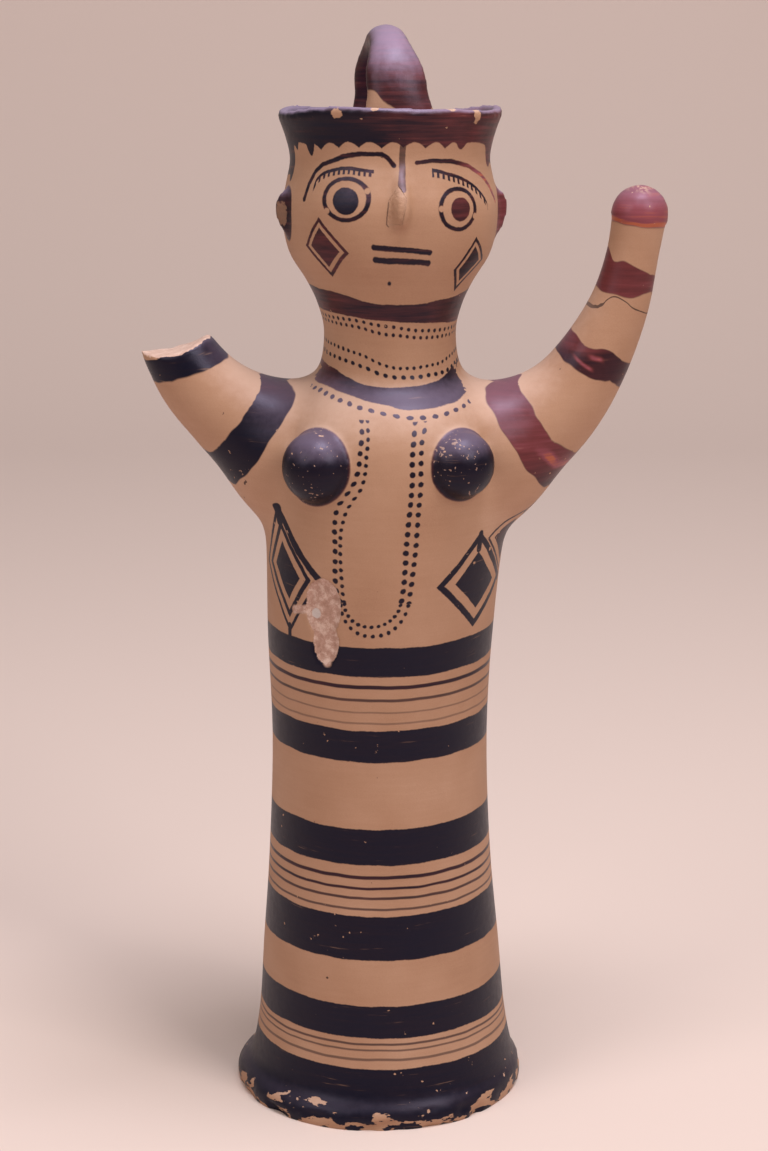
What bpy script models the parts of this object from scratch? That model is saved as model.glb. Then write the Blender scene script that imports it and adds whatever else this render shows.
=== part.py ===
"""A wheel-made terracotta figurine of a woman with raised arms: one hollow piece of fired clay.

The body is thrown as a tube that flares at the foot, closes at the shoulders and opens
again into the neck, the head and its crown. The arms, breasts, ears, nose and the loop on
the crown are solid clay smoothed onto it. Her right arm is broken off below the elbow.
Units are metres, +Z is up, she faces -Y, and the origin is the bottom centre of her box.
"""

import math

import bmesh
import bpy
from mathutils import Matrix, Vector, noise

# The thrown wall: a radius, and the height above the ground where it is reached
FOOT_RADIUS = 0.0500
FOOT_RISE = 0.0110
HEM_RADIUS = 0.0458
WAIST_RADIUS = 0.0370
WAIST_HEIGHT = 0.1280
BUST_RADIUS = 0.0408
BUST_HEIGHT = 0.2200
SHOULDER_HEIGHT = 0.2475
NECK_RADIUS = 0.0220
NECK_HEIGHT = 0.2685
CHEEK_RADIUS = 0.0360
CHEEK_HEIGHT = 0.3090
BROW_RADIUS = 0.0331
BROW_HEIGHT = 0.3265
LIP_RADIUS = 0.0372
LIP_HEIGHT = 0.3430
LIP_THICKNESS = 0.0036
DISH_DEPTH = 0.0060
WALL = 0.0050
FOOT_ROUNDING = 0.0006
FOOT_SHIFT = 0.0014
FOOT_WAVER = 0.012
LIP_WAVES = ((3, 0.7, 0.0006), (5, 0.0, 0.0004))
DISH_CORNER = (0.0035, 0.0010)

# The pose: the waist sways to her right and the neck to her left, the head leans back and turns
WAIST_SWAY = 0.0010
NECK_DRIFT = 0.0025
DRIFT_HEIGHT = (0.150, 0.245)
HEAD_LEAN = math.radians(8.0)
LEAN_HEIGHT = (0.262, 0.296)
HEAD_TURN = math.radians(6.0)

# The arms: one centre line for both, as distance from the axis, height and radius
ARM_STATIONS = (
    (0.0140, 0.2220, 0.0290),
    (0.0320, 0.2268, 0.0268),
    (0.0488, 0.2368, 0.0186),
    (0.0587, 0.2450, 0.0153),
    (0.0661, 0.2545, 0.0132),
    (0.0726, 0.2660, 0.0114),
    (0.0782, 0.2797, 0.0098),
    (0.0817, 0.2950, 0.0087),
    (0.0838, 0.3085, 0.0091),
)
ARM_DEPTH = 0.0232
LEFT_ARM_NEARER = 0.0012
RIGHT_ELBOW_LIFT = 0.0016
ELBOW_STARTS = (0.0200, 0.0450)
ELBOW_ENDS = (0.0550, 0.0680)
HAND_HEIGHT = 0.3175
BREAK_HEIGHT = 0.2648
BREAK_CENTRE = 0.0726
BREAK_SLOPE = (-0.21, 0.09)

# Where the arms are smoothed into the shoulders: between the first two and the last two
JOIN_HEIGHTS = (0.165, 0.192, 0.250, 0.270)
JOIN_REACH = (0.022, 0.030, 0.050, 0.064)

# What is laid on the body and the head
BREAST_RADIUS = (0.0121, 0.0113)
BREAST_HEIGHT = (0.2300, 0.2308)
BREAST_SPREAD = 0.0236
EAR_LENGTH = 0.0158
EAR_WIDTH = 0.0100
EAR_THICKNESS = 0.0066
EAR_HEIGHT = 0.3085
EAR_SINK = 0.0010
EAR_PLACE = math.radians(86.0)
EAR_TWIST = math.radians(12.0)
EAR_TILT = math.radians(12.0)
NOSE_TOP = 0.3290
NOSE_TIP = 0.3045
NOSE_WIDTH = 0.0072
NOSE_RELIEF = 0.0062
NOSE_FACET = 0.72
NOSE_FACET_FACING = (-0.22, -1.0, 0.10)
NOSE_MARGIN = 0.006
LOOP_SPAN = 0.0440
LOOP_RISE = 0.0290
LOOP_WIDTH = 0.0200
LOOP_THICKNESS = 0.0100
LOOP_ASIDE = 0.0014
LOOP_ROOT = 0.0020
LOOP_SQUARENESS = 0.62

# The flake lost over the waist band
FLAKE_TURN = math.radians(-33.0)
FLAKE_HEIGHT = 0.1790
FLAKE_SIZE = (0.0090, 0.0150, 0.0016)

# The grain of the shape: how finely it is worked, and the triangles that the solid keeps
CLAY_GRAIN = 0.0015
SPIN_STEPS = 96
CAVITY_STEPS = 36
CAVITY_LEVELS = 30
SOLID_TRIANGLES = 6800
CLEAR = 0.010


def between(low, high, share):
    return low + (high - low) * share


def eased(low, high, value):
    """0 below low, 1 above high, and a soft step between."""
    share = min(1.0, max(0.0, (value - low) / (high - low)))
    return share * share * (3 - 2 * share)


def through(points, steps):
    """A smooth line through all the points, with that many steps between each two."""
    ends = [points[0] * 2 - points[1]] + points + [points[-1] * 2 - points[-2]]
    line = []
    for before, start, end, after in zip(ends, ends[1:], ends[2:], ends[3:]):
        for step in range(steps):
            t = step / steps
            line.append(
                0.5
                * (
                    2 * start
                    + (end - before) * t
                    + (2 * before - 5 * start + 4 * end - after) * t**2
                    + (3 * start - before - 3 * end + after) * t**3
                )
            )
    return line + [points[-1].copy()]


def wall_line():
    """The outside of the thrown wall, from the foot to the crown's lip, as (radius, height)."""
    skirt = WAIST_HEIGHT - FOOT_RISE
    neck_flare = NECK_RADIUS + 0.12 * (BUST_RADIUS - NECK_RADIUS)
    jaw = NECK_RADIUS + 0.42 * (CHEEK_RADIUS - NECK_RADIUS)
    stations = [
        (FOOT_RADIUS - FOOT_ROUNDING, 0.0),
        (FOOT_RADIUS, 0.25 * FOOT_RISE),
        (between(HEM_RADIUS, FOOT_RADIUS, 0.70), 0.60 * FOOT_RISE),
        (HEM_RADIUS, FOOT_RISE),
        (between(WAIST_RADIUS, HEM_RADIUS, 0.68), FOOT_RISE + 0.14 * skirt),
        (between(WAIST_RADIUS, HEM_RADIUS, 0.48), FOOT_RISE + 0.34 * skirt),
        (between(WAIST_RADIUS, HEM_RADIUS, 0.16), FOOT_RISE + 0.64 * skirt),
        (WAIST_RADIUS, WAIST_HEIGHT),
        (between(WAIST_RADIUS, BUST_RADIUS, 0.46), between(WAIST_HEIGHT, BUST_HEIGHT, 0.45)),
        (between(WAIST_RADIUS, BUST_RADIUS, 0.94), between(WAIST_HEIGHT, BUST_HEIGHT, 0.78)),
        (BUST_RADIUS, BUST_HEIGHT),
        (between(NECK_RADIUS, BUST_RADIUS, 0.90), between(BUST_HEIGHT, SHOULDER_HEIGHT, 0.62)),
        (between(NECK_RADIUS, BUST_RADIUS, 0.60), SHOULDER_HEIGHT),
        (neck_flare, between(SHOULDER_HEIGHT, NECK_HEIGHT, 0.40)),
        (NECK_RADIUS, NECK_HEIGHT),
        (between(NECK_RADIUS, jaw, 0.35), between(NECK_HEIGHT, CHEEK_HEIGHT, 0.24)),
        (jaw, between(NECK_HEIGHT, CHEEK_HEIGHT, 0.44)),
        (between(jaw, CHEEK_RADIUS, 0.72), between(NECK_HEIGHT, CHEEK_HEIGHT, 0.68)),
        (CHEEK_RADIUS, CHEEK_HEIGHT),
        (between(BROW_RADIUS, CHEEK_RADIUS, 0.42), between(CHEEK_HEIGHT, BROW_HEIGHT, 0.58)),
        (BROW_RADIUS, BROW_HEIGHT),
        (between(BROW_RADIUS, LIP_RADIUS, 0.42), between(BROW_HEIGHT, LIP_HEIGHT, 0.48)),
        (LIP_RADIUS, LIP_HEIGHT - 0.6 * LIP_THICKNESS),
    ]
    return through([Vector(station) for station in stations], 5)


def radius_at(height):
    """The thrown wall's outer radius at a height."""
    line = wall_line()
    for low, high in zip(line, line[1:]):
        if low.y <= height <= high.y:
            return between(low.x, high.x, (height - low.y) / (high.y - low.y))
    return line[-1].x if height > line[-1].y else line[0].x


def drift_at(height):
    """How far the body's axis has moved to her left at a height."""
    swayed = eased(0.0, 0.8 * WAIST_HEIGHT, height) - eased(*DRIFT_HEIGHT, height)
    return NECK_DRIFT * eased(*DRIFT_HEIGHT, height) - WAIST_SWAY * swayed


def posed(point):
    """A point of the straight figure, in the place that the neck's drift and lean give it."""
    x, y, height = point
    x += drift_at(height)
    low, high = LEAN_HEIGHT
    above = height - low
    if above <= 0:
        return Vector((x, y, height))
    bend = HEAD_LEAN / (high - low)
    angle = min(above * bend, HEAD_LEAN)
    rest = max(0.0, height - high)
    back = (1 - math.cos(angle)) / bend + rest * math.sin(angle)
    up = low + math.sin(angle) / bend + rest * math.cos(angle)
    return Vector((x, back + y * math.cos(angle), up - y * math.sin(angle)))


def pose(shape):
    for vert in shape.verts:
        vert.co = posed(vert.co)


def spun(outline, steps):
    """A closed solid turned from an outline that starts and ends on the axis."""
    shape = bmesh.new()
    verts = [shape.verts.new((radius, 0, height)) for radius, height in outline]
    edges = [shape.edges.new(pair) for pair in zip(verts, verts[1:])]
    bmesh.ops.spin(
        shape,
        geom=verts + edges,
        axis=(0, 0, 1),
        cent=(0, 0, 0),
        angle=math.tau,
        steps=steps,
        use_merge=True,
    )
    bmesh.ops.remove_doubles(shape, verts=shape.verts, dist=1e-6)
    bmesh.ops.recalc_face_normals(shape, faces=shape.faces)
    return shape


def swept(stations, sides):
    """A closed solid through rings, each given as centre, direction, wide axis and two radii."""
    shape = bmesh.new()
    rings = []
    for centre, along, wide, (width, depth) in stations:
        along = along.normalized()
        across = (wide - along * wide.dot(along)).normalized()
        beside = along.cross(across)
        ring = []
        for side in range(sides):
            angle = math.tau * side / sides
            reach = width * math.cos(angle) * across + depth * math.sin(angle) * beside
            ring.append(shape.verts.new(centre + reach))
        rings.append(ring)
    for low, high in zip(rings, rings[1:]):
        for side in range(sides):
            after = (side + 1) % sides
            shape.faces.new((low[side], low[after], high[after], high[side]))
    shape.faces.new(rings[0][::-1])
    shape.faces.new(rings[-1])
    bmesh.ops.recalc_face_normals(shape, faces=shape.faces)
    return shape


def body():
    """The thrown body, closed under the foot and over the crown, before it is hollowed."""
    line = wall_line()
    lip_inner = LIP_RADIUS - LIP_THICKNESS
    floor = LIP_HEIGHT - DISH_DEPTH
    over = [
        (LIP_RADIUS - 0.12 * LIP_THICKNESS, LIP_HEIGHT - 0.18 * LIP_THICKNESS),
        (LIP_RADIUS - 0.45 * LIP_THICKNESS, LIP_HEIGHT),
        (lip_inner + 0.12 * LIP_THICKNESS, LIP_HEIGHT - 0.25 * LIP_THICKNESS),
        (lip_inner - DISH_CORNER[1], between(floor, LIP_HEIGHT, 0.40)),
        (lip_inner - DISH_CORNER[0], floor + DISH_CORNER[1]),
        (0.5 * lip_inner, floor),
        (0, floor),
    ]
    under = [(0, -CLEAR), (FOOT_RADIUS - FOOT_ROUNDING, -CLEAR)]
    shape = spun(under + [tuple(point) for point in line] + over, SPIN_STEPS)
    for vert in shape.verts:
        angle = math.atan2(vert.co.y, vert.co.x)
        rim = eased(0.8, 1.0, vert.co.z / LIP_HEIGHT) * eased(0.7, 1.0, vert.co.xy.length / LIP_RADIUS)
        for count, start, rise in LIP_WAVES:
            vert.co.z += rim * rise * math.sin(count * angle + start)
        foot = 1 - eased(0.3 * FOOT_RISE, FOOT_RISE, vert.co.z)
        wave = noise.noise(Vector((2.2 * math.cos(angle), 2.2 * math.sin(angle), 0.4)))
        vert.co.xy *= 1 + FOOT_WAVER * foot * wave
        vert.co.x -= FOOT_SHIFT * foot
    pose(shape)
    return shape


def arm(side):
    """One raised arm, side -1 for her right and +1 for her left, with its rounded hand."""
    points = [Vector(station) for station in ARM_STATIONS]
    line = through(points, 4)
    wrist = points[-1]
    palm = HAND_HEIGHT - wrist.y
    for turn in (0.35, 0.65, 0.88, 0.99):
        line.append(
            Vector((wrist.x + 0.10 * palm * turn, wrist.y + palm * turn, wrist.z * math.sqrt(1 - turn**2)))
        )
    shoulder = drift_at(SHOULDER_HEIGHT) - (LEFT_ARM_NEARER if side > 0 else 0)
    stations = []
    if side < 0:
        for station in line:
            lift = eased(*ELBOW_STARTS, station.x) * (1 - eased(*ELBOW_ENDS, station.x))
            station.y += RIGHT_ELBOW_LIFT * lift
            station.z -= 0.5 * RIGHT_ELBOW_LIFT * lift
    for index, (out, up, radius) in enumerate(line):
        before, after = line[max(index - 1, 0)], line[min(index + 1, len(line) - 1)]
        along = Vector((side * (after.x - before.x), 0, after.y - before.y))
        centre = Vector((side * out + shoulder, 0, up))
        stations.append((centre, along, Vector((0, 1, 0)), (min(radius, ARM_DEPTH), radius)))
    shape = swept(stations, 32)
    if side < 0:
        broken_end = Vector((shoulder - BREAK_CENTRE, 0, BREAK_HEIGHT))
        cut_off(shape, broken_end, Vector((*BREAK_SLOPE, 1)))
    return shape


def ball(radii, centre, turn, steps=(32, 16)):
    shape = bmesh.new()
    place = Matrix.Translation(centre) @ turn.to_4x4() @ Matrix.Diagonal((*radii, 1))
    bmesh.ops.create_uvsphere(
        shape, u_segments=steps[0], v_segments=steps[1], radius=1, matrix=place
    )
    return shape


def breast(side):
    """A painted knob of clay, pressed onto the chest."""
    index = 0 if side < 0 else 1
    radius, height = BREAST_RADIUS[index], BREAST_HEIGHT[index]
    wall = radius_at(height)
    out = side * BREAST_SPREAD
    depth = math.sqrt(wall**2 - out**2)
    turn = Matrix.Rotation(math.asin(out / wall), 3, "Z")
    centre = Vector((out + drift_at(height), -depth + 0.10 * radius, height))
    return ball((radius, 0.95 * radius, radius), centre, turn)


def on_head(turn, height, out=0.0):
    """A point on the head's wall, turned from the middle of the face, before the pose."""
    angle = HEAD_TURN + turn - math.pi / 2
    reach = radius_at(height) + out
    return Vector((reach * math.cos(angle), reach * math.sin(angle), height))


def ear(side):
    """A flat oval lug with a thumbed hollow in its front."""
    turn = Matrix.Rotation(HEAD_TURN - side * EAR_TWIST, 3, "Z")
    tilt = Matrix.Rotation(side * EAR_TILT, 3, "Y")
    centre = on_head(side * EAR_PLACE, EAR_HEIGHT, -EAR_SINK)
    radii = (EAR_WIDTH / 2, EAR_THICKNESS / 2, EAR_LENGTH / 2)
    shape = ball(radii, centre, turn @ tilt, (24, 16))
    out = turn @ Vector((side, 0, 0))
    for vert in shape.verts:
        away = vert.co - (centre + 0.15 * EAR_WIDTH * out)
        near = max(0.0, 1 - (away.xz.length / (0.42 * EAR_LENGTH)) ** 2)
        if away.dot(turn @ Vector((0, -1, 0))) > 0:
            vert.co.y += 0.45 * EAR_THICKNESS * near
    pose(shape)
    return shape


def nose():
    """A pinched ridge from the brow, whose tip is worn to a flat facet."""
    stations = []
    steps = 14
    for step in range(steps + 1):
        share = step / steps
        height = between(NOSE_TOP, NOSE_TIP, share)
        swell = math.sin(math.pi * min(1.0, 0.06 + 0.86 * share) ** 1.5) ** 0.8
        width = NOSE_WIDTH / 2 * between(0.55, 1.0, share) * max(0.25, swell)
        reach = NOSE_RELIEF * between(0.35, 1.0, share) * max(0.20, swell)
        centre = on_head(0, height)
        wide = Vector((math.cos(HEAD_TURN), math.sin(HEAD_TURN), 0))
        stations.append((centre, Vector((0, 0, -1)), wide, (width, reach)))
    shape = swept(stations, 20)
    facet = on_head(0, between(NOSE_TOP, NOSE_TIP, NOSE_FACET), NOSE_FACET * NOSE_RELIEF)
    facing = Matrix.Rotation(HEAD_TURN, 3, "Z") @ Vector(NOSE_FACET_FACING)
    cut_off(shape, facet, facing)
    pose(shape)
    return shape


def loop():
    """The strap of clay that arches over the crown from front to back."""
    floor = LIP_HEIGHT - DISH_DEPTH
    rise = LIP_HEIGHT + LOOP_RISE - LOOP_THICKNESS / 2 - floor
    stations = []
    steps = 28
    turn = Matrix.Rotation(HEAD_TURN, 3, "Z")
    for step in range(steps + 1):
        angle = math.pi * step / steps
        forward, up = -math.cos(angle), math.sin(angle) ** LOOP_SQUARENESS
        along = Vector((0, math.sin(angle) + 0.05, 1.25 * math.cos(angle)))
        aside = between(LOOP_ASIDE, -LOOP_ASIDE, up)
        centre = turn @ Vector((aside, forward * LOOP_SPAN / 2, floor - LOOP_ROOT + rise * up))
        foot = 1 + 0.30 * (1 - eased(0.0, 0.45, up))
        top = 1 - 0.36 * eased(0.45, 1.0, up) ** 2
        radii = (LOOP_WIDTH / 2 * foot * top, LOOP_THICKNESS / 2)
        stations.append((centre, turn @ along, turn @ Vector((1, 0, 0)), radii))
    shape = swept(stations, 20)
    pose(shape)
    return shape


def cut_off(shape, point, facing):
    """Takes away what lies beyond a plane, and closes the cut."""
    cut = bmesh.ops.bisect_plane(
        shape,
        geom=shape.verts[:] + shape.edges[:] + shape.faces[:],
        plane_co=point,
        plane_no=facing,
        clear_outer=True,
    )
    rim = [part for part in cut["geom_cut"] if isinstance(part, bmesh.types.BMEdge)]
    bmesh.ops.holes_fill(shape, edges=rim, sides=0)
    bmesh.ops.recalc_face_normals(shape, faces=shape.faces)


def as_object(name, shape):
    mesh = bpy.data.meshes.new(name)
    shape.to_mesh(mesh)
    shape.free()
    made = bpy.data.objects.new(name, mesh)
    bpy.context.collection.objects.link(made)
    return made


def evaluated(made):
    """The object's mesh with its modifiers applied, as a bmesh. The object itself is removed."""
    bpy.context.view_layer.update()
    graph = bpy.context.evaluated_depsgraph_get()
    shape = bmesh.new()
    shape.from_object(made, graph)
    mesh = made.data
    bpy.data.objects.remove(made)
    bpy.data.meshes.remove(mesh)
    return shape


def worked_together(shapes):
    """The lumps of clay made one skin, with the joins between them smoothed by hand."""
    together = bmesh.new()
    for shape in shapes:
        lump = bpy.data.meshes.new("lump")
        shape.to_mesh(lump)
        shape.free()
        together.from_mesh(lump)
        bpy.data.meshes.remove(lump)
    made = as_object("clay", together)
    skin = made.modifiers.new("one skin", "REMESH")
    skin.mode = "VOXEL"
    skin.voxel_size = CLAY_GRAIN
    made = as_object("skin", evaluated(made))
    for name, rounds, share in (
        ("wiped", 4, wiped),
        ("arm joins", 90, arm_joins),
        ("nose join", 6, nose_join),
    ):
        group = made.vertex_groups.new(name=name)
        for vert in made.data.vertices:
            group.add([vert.index], share(vert.co), "REPLACE")
        smooth = made.modifiers.new(name, "SMOOTH")
        smooth.factor = 0.5
        smooth.iterations = rounds
        smooth.vertex_group = name
    return evaluated(made)


def wiped(point):
    """Less on the crown, whose lip stays crisp."""
    return 1 - 0.65 * eased(LIP_HEIGHT - 2.5 * DISH_DEPTH, LIP_HEIGHT - DISH_DEPTH, point.z)


def arm_joins(point):
    """Where the arms grow out of the shoulders, clear of the breasts and the neck."""
    side = abs(point.x - drift_at(point.z))
    height = eased(*JOIN_HEIGHTS[:2], point.z) * (1 - eased(*JOIN_HEIGHTS[2:], point.z))
    out = eased(*JOIN_REACH[:2], side) * (1 - eased(*JOIN_REACH[2:], side))
    chest = Vector((BREAST_SPREAD, BREAST_HEIGHT[0])) - Vector((side, point.z))
    clear = eased(1.0 * BREAST_RADIUS[0], 1.4 * BREAST_RADIUS[0], chest.length)
    return height * out * (clear if point.y < 0 else 1)


def nose_join(point):
    front = eased(0.5 * CHEEK_RADIUS, 0.8 * CHEEK_RADIUS, -point.y)
    low = eased(NOSE_TIP - 1.3 * NOSE_MARGIN, NOSE_TIP - 0.5 * NOSE_MARGIN, point.z)
    return front * low * (1 - eased(NOSE_TOP, NOSE_TOP + NOSE_MARGIN, point.z))


def thinned(shape, triangles):
    """The same skin with fewer faces."""
    bmesh.ops.triangulate(shape, faces=shape.faces)
    share = min(1.0, triangles / len(shape.faces))
    made = as_object("skin", shape)
    fewer = made.modifiers.new("fewer faces", "DECIMATE")
    fewer.ratio = share
    return evaluated(made)


def cavity():
    """What the potter's hand leaves empty, from the open foot up into the head."""
    top = LIP_HEIGHT - DISH_DEPTH - WALL
    outline = [(0, -CLEAR)]
    for step in range(CAVITY_LEVELS + 1):
        height = between(-CLEAR, top, (step / CAVITY_LEVELS) ** 0.85)
        inside = min(radius_at(max(0.0, height + share * WALL)) for share in (-1, 0, 1)) - WALL
        closing = math.sqrt(max(0.0, 1 - eased(top - 0.014, top, height) ** 2))
        outline.append((inside * max(0.02, closing), height))
    outline.append((0, top))
    shape = spun(outline, CAVITY_STEPS)
    pose(shape)
    return shape


def flake():
    """The shallow scar, round above and drawn out to a tongue below."""
    wall = radius_at(FLAKE_HEIGHT)
    width, height, depth = FLAKE_SIZE
    turn = Matrix.Rotation(FLAKE_TURN, 3, "Z")
    centre = turn @ Vector((0, -wall - 0.6 * depth, 0)) + Vector((0, 0, FLAKE_HEIGHT))
    return ball((width, 2.2 * depth, height), centre, turn, (20, 12))


def cutter(name, shape):
    made = as_object(name, shape)
    made.hide_render = True
    made.display_type = "WIRE"
    return made


def fired_clay():
    material = bpy.data.materials.new("fired_clay")
    material.use_nodes = True
    shader = material.node_tree.nodes["Principled BSDF"]
    shader.inputs["Base Color"].default_value = (0.47, 0.28, 0.15, 1)
    shader.inputs["Roughness"].default_value = 0.55
    shader.inputs["Metallic"].default_value = 0.0
    return material


def stand_on_origin(shape):
    """Moves the shape so that the bottom centre of its box is the origin, and says how far."""
    low = Vector(min(vert.co[axis] for vert in shape.verts) for axis in range(3))
    high = Vector(max(vert.co[axis] for vert in shape.verts) for axis in range(3))
    move = Vector((-(low.x + high.x) / 2, -(low.y + high.y) / 2, -low.z))
    bmesh.ops.translate(shape, verts=shape.verts, vec=move)
    return move


def figurine():
    lumps = [body(), nose(), loop()]
    for side in (-1, 1):
        lumps += [arm(side), breast(side), ear(side)]
    skin = worked_together(lumps)
    cut_off(skin, Vector((0, 0, 0)), Vector((0, 0, -1)))
    skin = thinned(skin, SOLID_TRIANGLES)
    move = stand_on_origin(skin)
    made = as_object("figurine", skin)
    for name, shape in (("cavity", cavity()), ("flake", flake())):
        bmesh.ops.translate(shape, verts=shape.verts, vec=move)
        hollow = made.modifiers.new(name, "BOOLEAN")
        hollow.operation = "DIFFERENCE"
        hollow.object = cutter(name, shape)
    made.data.materials.append(fired_clay())
    return made


def main():
    for old in list(bpy.data.objects):
        bpy.data.objects.remove(old)
    made = figurine()
    made.data.shade_smooth()


main()
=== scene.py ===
"""The painted terracotta figurine: one hollow piece of fired clay, with its slip and its wear.

The form is built again here more finely than the solid, with the same measures. Its surface
carries two of its own coordinates: where each point lies on the straight figure, before the
neck's drift and the head's lean, and how far along an arm it lies. The paint is drawn by
nodes in those coordinates, so it follows the clay all the way round.
Units are metres, +Z is up, she faces -Y.
"""

import math

import bmesh
import bpy
from mathutils import Matrix, Vector, noise


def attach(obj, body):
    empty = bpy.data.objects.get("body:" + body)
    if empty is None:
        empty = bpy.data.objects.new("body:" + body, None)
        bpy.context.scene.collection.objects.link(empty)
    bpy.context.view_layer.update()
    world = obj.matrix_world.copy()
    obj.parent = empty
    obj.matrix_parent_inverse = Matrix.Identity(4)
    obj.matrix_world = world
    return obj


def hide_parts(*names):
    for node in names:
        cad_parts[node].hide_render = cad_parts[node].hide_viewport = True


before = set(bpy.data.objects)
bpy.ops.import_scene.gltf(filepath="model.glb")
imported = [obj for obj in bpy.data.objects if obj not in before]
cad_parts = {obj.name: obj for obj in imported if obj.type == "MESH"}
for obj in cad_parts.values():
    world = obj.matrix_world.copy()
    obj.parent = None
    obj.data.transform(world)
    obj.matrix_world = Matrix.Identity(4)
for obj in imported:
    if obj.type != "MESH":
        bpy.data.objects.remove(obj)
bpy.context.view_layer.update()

# The thrown wall: a radius, and the height above the ground where it is reached
FOOT_RADIUS = 0.0500
FOOT_RISE = 0.0110
HEM_RADIUS = 0.0458
WAIST_RADIUS = 0.0370
WAIST_HEIGHT = 0.1280
BUST_RADIUS = 0.0408
BUST_HEIGHT = 0.2200
SHOULDER_HEIGHT = 0.2475
NECK_RADIUS = 0.0220
NECK_HEIGHT = 0.2685
CHEEK_RADIUS = 0.0360
CHEEK_HEIGHT = 0.3090
BROW_RADIUS = 0.0331
BROW_HEIGHT = 0.3265
LIP_RADIUS = 0.0372
LIP_HEIGHT = 0.3430
LIP_THICKNESS = 0.0036
DISH_DEPTH = 0.0060
WALL = 0.0050
FOOT_ROUNDING = 0.0006
FOOT_SHIFT = 0.0014
FOOT_WAVER = 0.012
LIP_WAVES = ((3, 0.7, 0.0006), (5, 0.0, 0.0004))
DISH_CORNER = (0.0035, 0.0010)

# The pose: the waist sways to her right and the neck to her left, the head leans back and turns
WAIST_SWAY = 0.0010
NECK_DRIFT = 0.0025
DRIFT_HEIGHT = (0.150, 0.245)
HEAD_LEAN = math.radians(8.0)
LEAN_HEIGHT = (0.262, 0.296)
HEAD_TURN = math.radians(6.0)

# The arms: one centre line for both, as distance from the axis, height and radius
ARM_STATIONS = (
    (0.0140, 0.2220, 0.0290),
    (0.0320, 0.2268, 0.0268),
    (0.0488, 0.2368, 0.0186),
    (0.0587, 0.2450, 0.0153),
    (0.0661, 0.2545, 0.0132),
    (0.0726, 0.2660, 0.0114),
    (0.0782, 0.2797, 0.0098),
    (0.0817, 0.2950, 0.0087),
    (0.0838, 0.3085, 0.0091),
)
ARM_DEPTH = 0.0232
LEFT_ARM_NEARER = 0.0012
RIGHT_ELBOW_LIFT = 0.0016
ELBOW_STARTS = (0.0200, 0.0450)
ELBOW_ENDS = (0.0550, 0.0680)
HAND_HEIGHT = 0.3175
BREAK_HEIGHT = 0.2648
BREAK_CENTRE = 0.0726
BREAK_SLOPE = (-0.21, 0.09)

# Where the arms are smoothed into the shoulders: between the first two and the last two
JOIN_HEIGHTS = (0.165, 0.192, 0.250, 0.270)
JOIN_REACH = (0.022, 0.030, 0.050, 0.064)

# What is laid on the body and the head: -1 is her right side and 1 her left
BREAST_RADIUS = {-1: 0.0121, 1: 0.0113}
BREAST_HEIGHT = {-1: 0.2300, 1: 0.2308}
BREAST_SPREAD = 0.0236
EAR_LENGTH = 0.0158
EAR_WIDTH = 0.0100
EAR_THICKNESS = 0.0066
EAR_HEIGHT = 0.3085
EAR_SINK = 0.0010
EAR_PLACES = {-1: math.radians(79.0), 1: math.radians(86.0)}
EAR_TWIST = math.radians(12.0)
EAR_TILT = math.radians(12.0)
NOSE_TOP = 0.3290
NOSE_TIP = 0.3045
NOSE_WIDTH = 0.0072
NOSE_RELIEF = 0.0062
NOSE_FACET = 0.72
NOSE_FACET_FACING = (-0.22, -1.0, 0.10)
NOSE_MARGIN = 0.006
LOOP_SPAN = 0.0440
LOOP_RISE = 0.0290
LOOP_WIDTH = 0.0200
LOOP_THICKNESS = 0.0100
LOOP_ASIDE = 0.0014
LOOP_ROOT = 0.0020
LOOP_SQUARENESS = 0.62

# The grain of the shape: how finely it is worked here, and in the solid
CLAY_GRAIN = 0.0013
SOLID_GRAIN = 0.0015
SPIN_STEPS = 256
CAVITY_STEPS = 96
CAVITY_LEVELS = 60
CLEAR = 0.010


def between(low, high, share):
    return low + (high - low) * share


def eased(low, high, value):
    """0 below low, 1 above high, and a soft step between."""
    share = min(1.0, max(0.0, (value - low) / (high - low)))
    return share * share * (3 - 2 * share)


def through(points, steps):
    """A smooth line through all the points, with that many steps between each two."""
    ends = [points[0] * 2 - points[1]] + points + [points[-1] * 2 - points[-2]]
    line = []
    for before, start, end, after in zip(ends, ends[1:], ends[2:], ends[3:]):
        for step in range(steps):
            t = step / steps
            line.append(
                0.5
                * (
                    2 * start
                    + (end - before) * t
                    + (2 * before - 5 * start + 4 * end - after) * t**2
                    + (3 * start - before - 3 * end + after) * t**3
                )
            )
    return line + [points[-1].copy()]


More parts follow.
